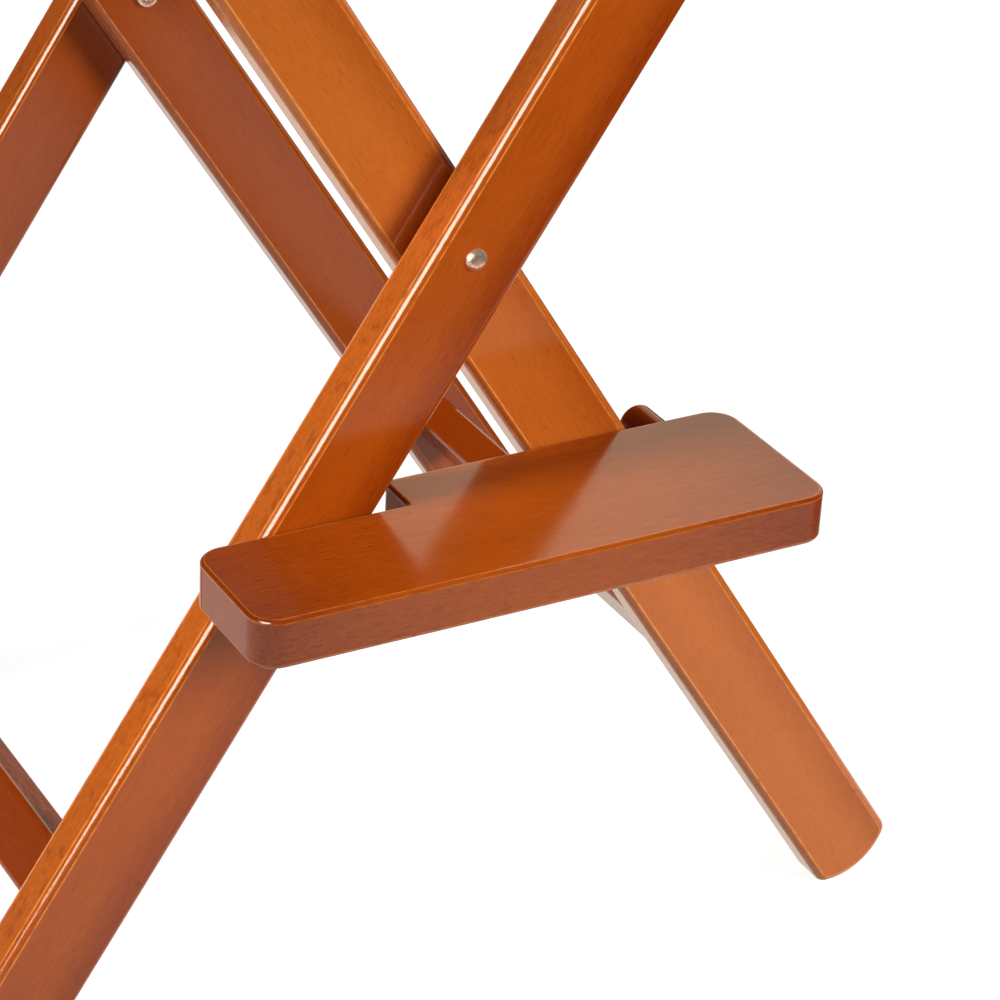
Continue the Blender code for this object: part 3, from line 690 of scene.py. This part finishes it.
def bolt_profile(head_radius, head_height, length):
    """Socket bolt: hexagon socket, flat top, eased rim, straight head and shank."""
    return [
        (SOCKET_RADIUS * 0.05, SOCKET_DEPTH + SOCKET_POINT),
        (SOCKET_RADIUS * 0.9, SOCKET_DEPTH, hexagon), (SOCKET_RADIUS, SOCKET_DEPTH * 0.9, hexagon),
        (SOCKET_RADIUS, SOCKET_LIP, hexagon), (SOCKET_RADIUS * 1.12, 0.0),
        (head_radius - BOLT_CHAMFER * 1.4, 0.0), (head_radius - BOLT_CHAMFER * 0.5, BOLT_CHAMFER * 0.3),
        (head_radius, BOLT_CHAMFER), (head_radius, head_height),
        (BOLT_RADIUS, head_height), (BOLT_RADIUS, length)]


def screw_profile(length):
    """Countersunk wood screw: cross recess, flat head, cone and shank with a blunt point."""
    return [
        (RECESS_RADIUS * 0.2, RECESS_DEPTH, cross), (RECESS_RADIUS * 0.6, RECESS_DEPTH * 0.9, cross),
        (RECESS_RADIUS, 0.0, cross), (RECESS_RADIUS * 1.15, 0.0),
        (SCREW_HEAD_RADIUS, 0.0), (SCREW_HEAD_RADIUS, SCREW_RIM), (SCREW_RADIUS, SCREW_HEAD_HEIGHT),
        (SCREW_RADIUS, length - SCREW_POINT), (SCREW_RADIUS * 0.2, length)]


def hardware(node, axis, sign, body, profile, *head):
    """Turned piece for a node, from the end that shows; profile(*head, length) gives its rows."""
    tip, inward, length = tip_of(node, axis, sign)
    item = closed_piece(node + "_turned", turned_rings(profile(*head, length), tip, inward))
    dress(item, STEEL, body, "plated_steel", node)


def arm_screws(out):
    """End, axis and side of each arm screw's head: one from above, one from outside."""
    return ("front", 2, 1), ("back", 0, out)


def leg_arcs(side):
    """Leg about the fold pivot: round top, straight sides, bowed foot with eased corners."""
    middle = side * LEG_OFFSET
    half = LEG_WIDTH / 2
    foot_up = (FOOT_RADIUS - FOOT_FLAT - pivot[2] + LEG_OFFSET * sin(leg_lean)) / cos(leg_lean)
    corner_out = half - FOOT_CORNER
    corner_reach = FOOT_RADIUS - FOOT_CORNER
    slope = acos(corner_out / corner_reach)
    corner_up = foot_up - corner_reach * sin(slope)
    return [
        (middle, leg_up, half, 0, pi),
        (middle - corner_out, corner_up, FOOT_CORNER, pi, pi + slope),
        (middle, foot_up, FOOT_RADIUS, pi + slope + ARC_STEP, 2 * pi - slope - ARC_STEP),
        (middle + corner_out, corner_up, FOOT_CORNER, 2 * pi - slope, 2 * pi)]


def leg_axes(side):
    """Across the leg, up the leg and through the leg."""
    lean = side * leg_lean
    return np.array([[cos(lean), 0, -sin(lean)], [sin(lean), 0, cos(lean)], [0, 1, 0]])


def legs_and_stretchers():
    """Four legs about the fold pivot, and a bar between each pair near the feet."""
    for frame_name, side in (("outer", 1), ("inner", -1)):
        body = frame_name + "_frame"
        axes = leg_axes(side)
        for end in ("front", "back"):
            node = f"{frame_name}_leg_{end}"
            low, high = span(node, 1)
            cutters = []
            if node == "outer_leg_front":
                tip, inward, _ = tip_of("footrest_hinge_bolt", 1, 1)
                radius, height = HINGE_HEAD
                sink = [(radius + FIT, -PAST), (radius + FIT, height + FIT)]
                cutters.append(turned_rings(sink, tip, inward))
            item = board(f"{frame_name}_{end}_leg_board", leg_arcs(side), low, high, LEG_EDGE,
                         pivot * [1, 0, 1], axes, 1, cutters, RUBBED[frame_name])
            dress(item, WOOD[node], body, "frame_wood", node)
        node = frame_name + "_stretcher"
        low, high = (np.array(corner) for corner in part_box(node))
        middle = (low + high) / 2 * [1, 0, 1]
        ends = span(f"{frame_name}_leg_front", 1)[1], span(f"{frame_name}_leg_back", 1)[0]
        arcs = box_arcs(-STRETCHER / 2, STRETCHER / 2, STRETCHER_EDGE)
        item = board(f"{frame_name}_stretcher_bar", arcs, *ends, 0.0, middle, axes, 2, sides=0.0)
        dress(item, WOOD[node], body, "frame_wood", node)


def footrest():
    """Stepped board, and the peg that rests on the inner front leg."""
    low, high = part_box("footrest_board")
    narrow = span("outer_leg_front", 1)[0] - RUNNING_GAP
    step = FOOTREST_STEP
    corners = [
        (low.x, low.y, FOOTREST_CORNER), (high.x, low.y, FOOTREST_CORNER),
        (high.x, high.y, FOOTREST_CORNER), (step, high.y, STEP_CORNER),
        (step, narrow, STEP_HOLLOW), (low.x, narrow, FOOTREST_CORNER)]
    item = board("footrest_plank", corner_arcs(corners), low.z, high.z, FOOTREST_EDGE, ORIGIN, FLAT, 0,
                 sides=FOOTREST_SIDES)
    dress(item, WOOD["footrest_board"], "footrest", "footrest_wood", "footrest_board")

    low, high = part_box("footrest_peg")
    radius = (high.x - low.x) / 2
    ring = [((low.x + high.x) / 2, (low.z + high.z) / 2, radius, 0, 2 * pi * (1 - 1 / PEG_STEPS))]
    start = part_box("footrest_board")[1].y - PAST
    item = board("footrest_peg_rod", ring, start, high.y, PEG_EASE, ORIGIN, UPRIGHT, 2, sides=0.0)
    dress(item, WOOD["footrest_peg"], "footrest", "footrest_wood", "footrest_peg")


def rail_arcs(middle, low, high, dowel):
    """Rail section with a keyhole groove: a rounded block, and a slot down to the hem's round hole."""
    bottom_left, bottom_right, top_right, top_left = box_arcs(low, high, RAIL_ROUND)
    half = SLOT_WIDTH / 2
    bore = DOWEL_RADIUS + 2 * FIT + CLOTH_THICK
    mouth = acos(half / bore)
    top = high[1] - RAIL_MOUTH
    return [
        bottom_left, bottom_right, top_right,
        (middle + half + RAIL_MOUTH, top, RAIL_MOUTH, pi / 2, pi),
        (middle, dowel, -bore, mouth - pi, -2 * pi - mouth),
        (middle - half - RAIL_MOUTH, top, RAIL_MOUTH, 0, pi / 2),
        top_left]


def side_frame(side, out):
    """Posts, rail and armrest of one side; out is +1 on the right and -1 on the left."""
    body = side + "_side"
    for end in ("front", "back"):
        node = f"{side}_{end}_post"
        low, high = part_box(node)
        foot = (high.x - low.x) / 2 - FIT
        corners = [
            (low.x, low.z, foot), (high.x, low.z, foot),
            (high.x, high.z, POST_CORNER), (low.x, high.z, POST_CORNER)]
        item = board(f"{side}_{end}_post_board", corner_arcs(corners), low.y, high.y, LEG_EDGE,
                     ORIGIN, UPRIGHT, 1)
        dress(item, WOOD["side"], body, "side_wood", node)

    node = side + "_seat_rail"
    low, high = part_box(node)
    dowel = sum(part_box(side + "_seat_dowel"), Vector()) / 2
    arcs = rail_arcs(dowel.x, (low.x, low.z), (high.x, high.z), dowel.z)
    item = board(side + "_rail_bar", arcs, low.y, high.y, RAIL_EASE, ORIGIN, UPRIGHT, 2, sides=0.0)
    dress(item, WOOD["side"], body, "side_wood", node)

    node = side + "_armrest"
    low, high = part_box(node)
    corners = [
        (low.x, low.y, ARM_FRONT_CORNER), (high.x, low.y, ARM_FRONT_CORNER),
        (high.x, high.y, ARM_BACK_CORNER), (low.x, high.y, ARM_BACK_CORNER)]
    post_low, post_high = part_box(side + "_back_post")
    open_x, post_x = (low.x - PAST, post_high.x + FIT) if out > 0 else (high.x + PAST, post_low.x - FIT)
    notch = np.array([[open_x, post_low.y - FIT], [post_x, post_low.y - FIT],
                      [post_x, high.y + PAST], [open_x, high.y + PAST]])
    levels = (low.z - PAST, high.z + PAST)
    cutters = [np.stack([np.column_stack([notch, np.full(len(notch), level)]) for level in levels])]
    for end, axis, sign in arm_screws(out):
        tip, inward, _ = tip_of(f"{side}_{end}_arm_screw", axis, sign)
        head = SCREW_HEAD_RADIUS + FIT
        sink = [(head, -PAST), (head, 0.0), (SCREW_RADIUS + FIT, SCREW_HEAD_HEIGHT + FIT)]
        cutters.append(turned_rings(sink, tip, inward))
    item = board(side + "_arm_board", corner_arcs(corners), low.z, high.z, LEG_EDGE, ORIGIN, FLAT, 1,
                 cutters)
    dress(item, WOOD["side"], body, "side_wood", node)
    repaint(side + "_seat_dowel", DOWEL)


def fasteners():
    """Bolts, dome nuts and screws, each from the end that shows."""
    bodies = {"{}_cross": "outer_frame", "right_{}_leg": "right_side", "left_{}_leg": "left_side"}
    for place, body in bodies.items():
        for end, outside in (("front", -1), ("back", 1)):
            group = place.format(end) + "_pivot"
            hardware(group + "_dome_nut", 1, outside, body, dome_profile)
            hardware(group + "_bolt", 1, -outside, body, bolt_profile, *BOLT_HEAD)
    hardware("footrest_hinge_bolt", 1, 1, "outer_frame", bolt_profile, *HINGE_HEAD)
    for side, out in (("right", 1), ("left", -1)):
        body = side + "_side"
        for end, axis, sign in arm_screws(out):
            hardware(f"{side}_{end}_rail_bolt", 0, out, body, bolt_profile, *BOLT_HEAD)
            hardware(f"{side}_{end}_arm_screw", axis, sign, body, screw_profile)


def spread(turn):
    """Distance of a seat pivot from the chair's middle when the fold joint has turned by an angle."""
    lean = leg_lean - turn / 2
    return LEG_OFFSET * cos(lean) + leg_up * sin(lean)


def slacken(item, edge):
    """Give a piece of cloth its own mesh; how far it would gather as the chair folds is worked out but
    not applied.

    The sides stay parallel and draw together. Cloth whose edge lies a reach inside the seat pivot
    keeps (folded spread - reach) / (open spread - reach) of its width.
    """
    reach = spread(0.0) - edge
    folded = spread(radians(joints["fold"]["range_deg"][1]))
    (folded - reach) / edge
    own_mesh(item)


def run_along(points):
    """Distance run along a line of points."""
    steps = np.linalg.norm(np.diff(points, axis=0), axis=-1)
    return np.concatenate([[0.0], np.cumsum(steps)])


def cloth_piece(name, points, u, v, around=False):
    """Cloth on a grid of points: u and v are the places of its columns and rows on the flat cloth."""
    rows, columns = points.shape[:2]
    item = mesh_piece(name, points, grid_faces(rows, columns, around).tolist())
    flat = np.stack(np.meshgrid(u, v), -1).reshape(-1, 2)
    corners = grid_faces(rows, len(u), False).ravel()
    layer = item.data.uv_layers.new(name="cloth")
    layer.data.foreach_set("uv", flat[corners].astype(np.float32).ravel())
    change = item.modifiers.new("thickness", "SOLIDIFY")
    change.thickness = CLOTH_THICK
    change.offset = 0.0
    return item


def seam(points, outs):
    """Stitches spaced evenly along a line on the cloth: place, direction and way out of each.

    outs is the way out of the cloth, at each point or the same for all.
    """
    run = run_along(points)
    outs = np.broadcast_to(outs, points.shape)
    places = np.arange(STITCH_PITCH / 2, run[-1], STITCH_PITCH)

    def read(values, at):
        return np.stack([np.interp(at, run, column) for column in values.T], -1)

    ahead = read(points, places + STITCH_LENGTH / 4) - read(points, places - STITCH_LENGTH / 4)
    ahead /= np.linalg.norm(ahead, axis=-1, keepdims=True)
    return read(points, places), ahead, read(outs, places)


def stitches(name, *seams):
    """Short stitches, half sunk in the cloth.

    Each is a spindle. Its radius falls along it as the root of 1 minus the place squared.
    """
    centres, ahead, out = (np.concatenate(group)[:, None, None] for group in zip(*seams))
    place = np.linspace(-STITCH_TIP, STITCH_TIP, STITCH_RINGS)[:, None, None]
    angles = np.linspace(0.0, 2 * pi, STITCH_SIDES, endpoint=False)[:, None]
    ring = np.cos(angles) * np.cross(out, ahead) + np.sin(angles) * out
    points = centres + place * ahead * STITCH_LENGTH / 2 + np.sqrt(1 - place ** 2) * ring * STITCH_RADIUS
    size = place.size * angles.size
    starts = np.arange(len(points))[:, None, None] * size
    ends = np.stack([np.arange(angles.size)[::-1], np.arange(size - angles.size, size)])
    quads = (starts + grid_faces(place.size, angles.size, True)).reshape(-1, 4)
    caps = (starts + ends).reshape(-1, angles.size)
    return mesh_piece(name, points, quads.tolist() + caps.tolist())


def arc(centre, radius, start, end, steps):
    """Points of an arc from one angle to another."""
    angles = np.linspace(start, end, steps)
    return centre + radius * np.stack([np.cos(angles), np.sin(angles)], -1)


def hemmed(low, high):
    """Rows across a cloth with both edges folded under: place across, and depth of the fold below."""
    bend = HEM_FOLD / 2
    turn = np.linspace(0.0, pi, HEM_TURN_STEPS)
    tuck = np.linspace(low + HEM_WIDTH, low + HEM_FOLD, HEM_TUCK_STEPS)
    edge = np.concatenate([tuck, low + bend - bend * np.sin(turn)])
    depth = np.concatenate([np.full(tuck.size, HEM_FOLD), bend + bend * np.cos(turn)])
    inner = np.linspace(low + HEM_FOLD, high - HEM_FOLD, CLOTH_ROWS)
    across = np.concatenate([edge, inner, low + high - edge[::-1]])
    return across, np.concatenate([depth, np.zeros(CLOTH_ROWS), depth[::-1]])


def panel_grid(edge, low, high, waves):
    """Shares from edge to edge, hem rows, depth of the hems, and soft pulls beside the held edges.

    A hem thins out just before it reaches a held edge. The pulls are waves across the cloth that
    grow as the fifth power of the share, and die out at the edge itself and towards the hems.
    """
    share = np.linspace(-1.0, 1.0, CLOTH_COLUMNS)
    across, depth = hemmed(low, high)
    thin = np.clip((1 - abs(share)) * edge / HEM_TAPER, 0.0, 1.0)
    wave = np.sin((across - low) / (high - low) * 2 * pi * waves)
    wave *= np.clip(np.minimum(across - low, high - across) / HEM_WIDTH - 1.0, 0.0, 1.0)
    pull = RIPPLE * np.outer(wave, abs(share) ** PULL_POWER * (1 - share ** 2) * 4)
    return share, across, np.outer(depth, thin), pull


def seat():
    """Seat: a panel that sags as a parabola between the rails, and a strip over each rail to its dowel.

    A strip ends a little past its rail.
    """
    low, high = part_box("right_seat_rail")
    dowel = sum(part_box("right_seat_dowel"), Vector()) / 2
    front, rear = span("seat_canvas", 1)
    half = CLOTH_THICK / 2
    lean = atan(SEAT_SLOPE)
    bend = RAIL_ROUND + FIT + half
    centre = np.array([low.x + RAIL_ROUND, high.z - RAIL_ROUND])
    inward = np.array([-cos(lean), -sin(lean)])
    outward = np.array([-sin(lean), cos(lean)])
    edge, rim = centre + bend * outward + SEAT_LIP * inward

    share, y, depth, pull = panel_grid(edge, front, rear, SEAT_WAVES)
    sag = rim - SEAT_SLOPE * edge / 2 * (1 - share ** 2)
    points = np.stack(np.broadcast_arrays(edge * share, y[:, None], sag - depth + pull), -1)
    width = run_along(np.stack([edge * share, sag], -1))
    length = run_along(np.stack([y, depth.max(1)], -1))
    panel = cloth_piece("seat_sling", points, width, length)

    up = np.stack([-SEAT_SLOPE * share, np.zeros_like(share), np.ones_like(share)], -1)
    rows = (front + HEM_WIDTH - STITCH_INSET, rear - HEM_WIDTH + STITCH_INSET)
    lines = [np.stack([edge * share, np.full_like(share, row), sag + half], -1) for row in rows]
    sewing = stitches("seat_hem_stitching", *(seam(line, up) for line in lines))
    for item in (panel, sewing):
        slacken(item, edge)
    dress(panel, CANVAS, "right_side", "canvas", "seat_canvas")
    dress(sewing, THREAD, "right_side", "canvas")

    bore = DOWEL_RADIUS + FIT + half
    level = high.z + FIT + half
    over = arc(centre, bend, pi / 2 + lean, pi / 2, RAIL_TURN_STEPS)
    mouth = np.array([dowel.x - SLOT_BEND, level - SLOT_BEND])
    into = arc(mouth, SLOT_BEND, pi / 2, 0.0, SLOT_TURN_STEPS)
    loop = arc(np.array([dowel.x, dowel.z]), bore, pi / 2, HEM_OPENING - 3 * pi / 2, LOOP_STEPS)
    path = np.concatenate([[[edge, rim]], over, into, loop])
    run = run_along(path)
    depths = np.linspace(front, rear, CLOTH_ROWS)
    pocket = np.array([edge, rim]) - STITCH_INSET * inward + half * outward
    flat_run = np.array([[edge, rim + half], *path[len(over):len(over) + 2] + [0.0, half]])
    for side, out in (("right", 1), ("left", -1)):
        points = np.stack(np.broadcast_arrays(out * path[:, 0], depths[:, None], path[:, 1]), -1)
        strip = cloth_piece(f"seat_{side}_strip", points, run, depths - front)
        x, z = out * flat_run[:, 0], flat_run[:, 1]
        seams = [seam(np.stack([x, np.full_like(x, row), z], -1), Z) for row in rows]
        line = np.array([[out * pocket[0], y_end, pocket[1]] for y_end in (front, rear)])
        seams.append(seam(line, [out * outward[0], 0.0, outward[1]]))
        sewing = stitches(f"seat_{side}_strip_stitching", *seams)
        dress(strip, CANVAS, side + "_side", "canvas")
        dress(sewing, THREAD, side + "_side", "canvas")


def back():
    """Back: a band that bows to the rear between two sleeves, each a drop-shaped loop round its post."""
    post_low, post_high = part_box("right_back_post")
    low, high = span("back_canvas", 2)
    half = CLOTH_THICK / 2
    wall = FIT + half
    middle = (post_low.y + post_high.y) / 2
    apex = post_low.x - wall - SLEEVE_LEAD

    share, z, depth, pull = panel_grid(apex, low, high, BACK_WAVES)
    bow = middle + BACK_BOW * (1 - share ** 2)
    dip = BACK_DIP * np.outer((z - low) / (high - low), 1 - share ** 2)
    points = np.stack(np.broadcast_arrays(apex * share, bow + depth + pull, z[:, None] - dip), -1)
    width = run_along(np.stack([apex * share, bow], -1))
    length = run_along(np.stack([z, depth.max(1)], -1))
    panel = cloth_piece("back_band", points, width, length)

    rows = np.array([low + HEM_WIDTH - STITCH_INSET, high - HEM_WIDTH + STITCH_INSET])
    lines = []
    for face in (-1, 1):
        out = np.array([0.0, face, 0.0])
        for row in rows:
            drop = BACK_DIP * (row - low) / (high - low) * (1 - share ** 2)
            lift = half + HEM_FOLD * (face > 0)
            line = np.stack([apex * share, bow + face * lift, row - drop], -1)[1:-1]
            lines.append(seam(line, out))
        for sign in (-1, 1):
            inset = sign * (apex - STITCH_INSET)
            place = middle + BACK_BOW * (1 - (inset / apex) ** 2) + face * half
            line = np.array([[inset, place, low + HEM_FOLD], [inset, place, high - HEM_FOLD]])
            lines.append(seam(line, out))
    sewing = stitches("back_stitching", *lines)
    for item in (panel, sewing):
        slacken(item, apex)
    dress(panel, CANVAS, "right_side", "canvas", "back_canvas")
    dress(sewing, THREAD, "right_side", "canvas")

    near, far = post_low.x - wall, post_high.x + wall
    front, rear = post_low.y - wall, post_high.y + wall
    corner = LEG_EDGE + wall
    loop = [(apex, middle, SLEEVE_APEX)]
    loop += [(near, front, corner), (far, front, corner), (far, rear, corner), (near, rear, corner)]
    ring, outs = outline(corner_arcs(loop))
    closed = np.concatenate([ring, ring[:1]])
    run = run_along(closed)
    heights = np.linspace(low, high, CLOTH_ROWS // 2)
    for side, out in (("right", 1), ("left", -1)):
        turn = np.array([out, 1.0])
        flat = np.broadcast_to(ring * turn, (heights.size, *ring.shape))
        level = np.broadcast_to(heights[:, None, None], (*flat.shape[:2], 1))
        points = np.concatenate([flat, level], -1)
        sleeve = cloth_piece(f"back_{side}_sleeve", points, run, heights - low, True)
        ways = np.concatenate([outs, outs[:1]]) * turn
        ways = np.concatenate([ways, np.zeros((len(ways), 1))], -1)
        seams = []
        for row in rows:
            line = np.concatenate([closed * turn, np.full((len(closed), 1), row)], -1)
            seams.append(seam(line + ways * half, ways))
        sewing = stitches(f"back_{side}_sleeve_stitching", *seams)
        dress(sleeve, CANVAS, side + "_side", "canvas")
        dress(sewing, THREAD, side + "_side", "canvas")


def camera():
    """Camera at the photograph's place: turned, tilted and rolled about its own line of sight."""
    a, e, roll = CAMERA_AZIMUTH, CAMERA_TILT, CAMERA_ROLL
    forward = Vector((sin(a) * cos(e), cos(a) * cos(e), -sin(e)))
    level = Vector((cos(a), -sin(a), 0.0))
    upward = level.cross(forward)
    right = cos(roll) * level + sin(roll) * upward
    up = -sin(roll) * level + cos(roll) * upward
    data = bpy.data.cameras.new("camera")
    data.lens = CAMERA_LENS
    data.sensor_width = SENSOR
    data.clip_start = CLIP_START
    item = new_object("camera", data)
    front = Vector((pivot[0], span("outer_leg_front", 1)[0], pivot[2]))
    turn = Matrix((right, up, -forward)).transposed().to_4x4()
    item.matrix_world = Matrix.Translation(front + Vector(CAMERA_FROM_PIVOT)) @ turn
    bpy.context.scene.camera = item


def softbox(name, azimuth, elevation, distance, width, height, radiance, gloss_only=False, tint=WHITE):
    """Area light that looks at the fold pivot; azimuth is turned from the front, to the right.

    A gloss-only light shows in reflections but lights no surface. The others do the opposite.
    """
    a, e = radians(azimuth), radians(elevation)
    away = Vector((sin(a) * cos(e), -cos(a) * cos(e), sin(e)))
    data = bpy.data.lights.new(name, "AREA")
    data.shape = "RECTANGLE"
    data.color = tint
    data.size = width
    data.size_y = height
    data.energy = radiance * pi * width * height
    item = new_object(name, data)
    item.location = Vector(pivot) + away * distance
    item.rotation_euler = away.to_track_quat("Z", "Y").to_euler()
    item.visible_diffuse = not gloss_only
    item.visible_glossy = gloss_only


def ray(start, kind):
    """1 for rays of this kind, 0 for the others."""
    return start.add("ShaderNodeLightPath", None, None, f"Is {kind} Ray")


def backdrop():
    """World: white for the camera, a dim room for light, and in gloss white at the back right."""
    world = bpy.data.worlds.new("studio")
    bpy.context.scene.world = world
    world.use_nodes = True
    start = Wire(world.node_tree)
    x, y, _ = start.add("ShaderNodeTexCoord", None, None, "Generated").parts()
    white = (x.ramp(*BACKDROP_LEFT) * y.ramp(*BACKDROP_FRONT)).mix(ROOM_GLOSS, BACKDROP)
    light = ray(start, "Glossy").mix(AMBIENT, white)
    light = ray(start, "Camera").maths("MAXIMUM", ray(start, "Transmission")).mix(light, rgb(1, 1, 1))
    world.node_tree.links.new(light.socket, world.node_tree.nodes["Background"].inputs["Color"])


def floor():
    """White floor that keeps a faint shadow.

    In gloss it ends a little in front of the chair and to its right.
    """
    corners = np.array([[-1, -1, 0], [1, -1, 0], [1, 1, 0], [-1, 1, 0]]) * FLOOR_REACH
    item = mesh_piece("floor", corners, [[0, 1, 2, 3]])
    material = bpy.data.materials.new("white_floor")
    material.use_nodes = True
    tree = material.node_tree
    tree.nodes.remove(tree.nodes["Principled BSDF"])
    start = Wire(tree)
    x, y, _ = object_place(start).parts()
    seen = (y.ramp(*FLOOR_FRONT) * x.ramp(*FLOOR_RIGHT)).mix(rgb(0, 0, 0), FLOOR_GLOSS)
    shine = ray(start, "Glossy").mix(ray(start, "Camera") * FLOOR_GLOW, seen)
    glow = start.add("ShaderNodeEmission", None, {"Color": shine})
    paint = start.add("ShaderNodeBsdfDiffuse", None, {"Color": FLOOR_PAINT * (1 - ray(start, "Glossy"))})
    both = start.add("ShaderNodeAddShader", None, {0: paint, 1: glow})
    tree.links.new(both.socket, tree.nodes["Material Output"].inputs["Surface"])
    item.data.materials.append(material)


def studio():
    backdrop()
    floor()
    softbox("key_softbox", *KEY_LIGHT)
    softbox("side_softbox", *SIDE_LIGHT)
    softbox("strip_softbox", *STRIP_LIGHT, True, STRIP_TINT)
    softbox("rear_softbox", *REAR_LIGHT)


# Stains: deep, pale and rubbed tone, and how far painted shade darkens each face towards one edge; wear
# of the arrises at both sides of a leg
LEG_TONE = (rgb(0.22, 0.026, 0.0010), rgb(0.50, 0.094, 0.005), rgb(0.80, 0.25, 0.045), 0.46)
INNER_TONE = (rgb(0.34, 0.062, 0.004), rgb(0.61, 0.155, 0.021), rgb(0.84, 0.34, 0.090), 0.40)
# The back legs' tones are darkened below the front legs' as painted shade
SHADED_BACK_TONE = (rgb(0.18, 0.023, 0.0010), rgb(0.33, 0.060, 0.005), rgb(0.56, 0.16, 0.028), 0.16)
BOARD_TONE = (rgb(0.15, 0.013, 0.0003), rgb(0.42, 0.081, 0.005), rgb(0.66, 0.20, 0.035), 0.10)
BAR_TONE = (rgb(0.17, 0.018, 0.0003), rgb(0.29, 0.042, 0.002), rgb(0.42, 0.09, 0.008), 0.0)
RUBBED = {"outer": (1.0, 0.0), "inner": (1.0, 0.4)}
WOOD = {
    "outer_leg_front": stained_beech("outer_front_leg_stain", *LEG_TONE),
    "inner_leg_front": stained_beech("inner_front_leg_stain", *INNER_TONE),
    "outer_leg_back": stained_beech("back_leg_stain", *SHADED_BACK_TONE),
    # On the footrest, ends darkens both ends and the last tone number darkens the right end, as painted
    # shade
    "footrest_board": stained_beech("footrest_stain", *BOARD_TONE, ends=0.44),
    # The peg takes the darker bar tone as painted shade, and less gloss
    "footrest_peg": stained_beech("peg_stain", *BAR_TONE, shine=0.12),
    "side": stained_beech("side_stain", *LEG_TONE)}
WOOD["inner_leg_back"] = WOOD["outer_leg_back"]
WOOD["outer_stretcher"] = WOOD["inner_stretcher"] = stained_beech("stretcher_stain", *BAR_TONE)
STEEL = plated("plated_steel", rgb(0.93, 0.68, 0.52), rgb(0.52, 0.28, 0.17), 0.24, 0.8)
BRASS = plated("insert_brass", rgb(0.75, 0.55, 0.25), rgb(0.48, 0.33, 0.15), 0.25, 1.0)
NYLON = clouded("spacer_nylon", NYLON_CELLS, 2.0, 0.4, rgb(0.62, 0.60, 0.55), rgb(0.78, 0.76, 0.71))
DOWEL = plain_beech("plain_dowel", rgb(0.46, 0.29, 0.15), rgb(0.70, 0.50, 0.30))
CANVAS = canvas("ecru_canvas", rgb(0.50, 0.43, 0.31), rgb(0.80, 0.73, 0.59))
THREAD = clouded("sewing_thread", TWIST_CELLS, 1.0, 0.6, rgb(0.60, 0.52, 0.38), rgb(0.86, 0.80, 0.66))

legs_and_stretchers()
footrest()
side_frame("right", 1)
side_frame("left", -1)
fasteners()
seat()
back()
for node in frame["nodes"]:
    if node.endswith("_spacer"):
        repaint(node, NYLON)
repaint("footrest_insert", BRASS)
camera()
studio()
bpy.context.scene.view_settings.view_transform = "Standard"
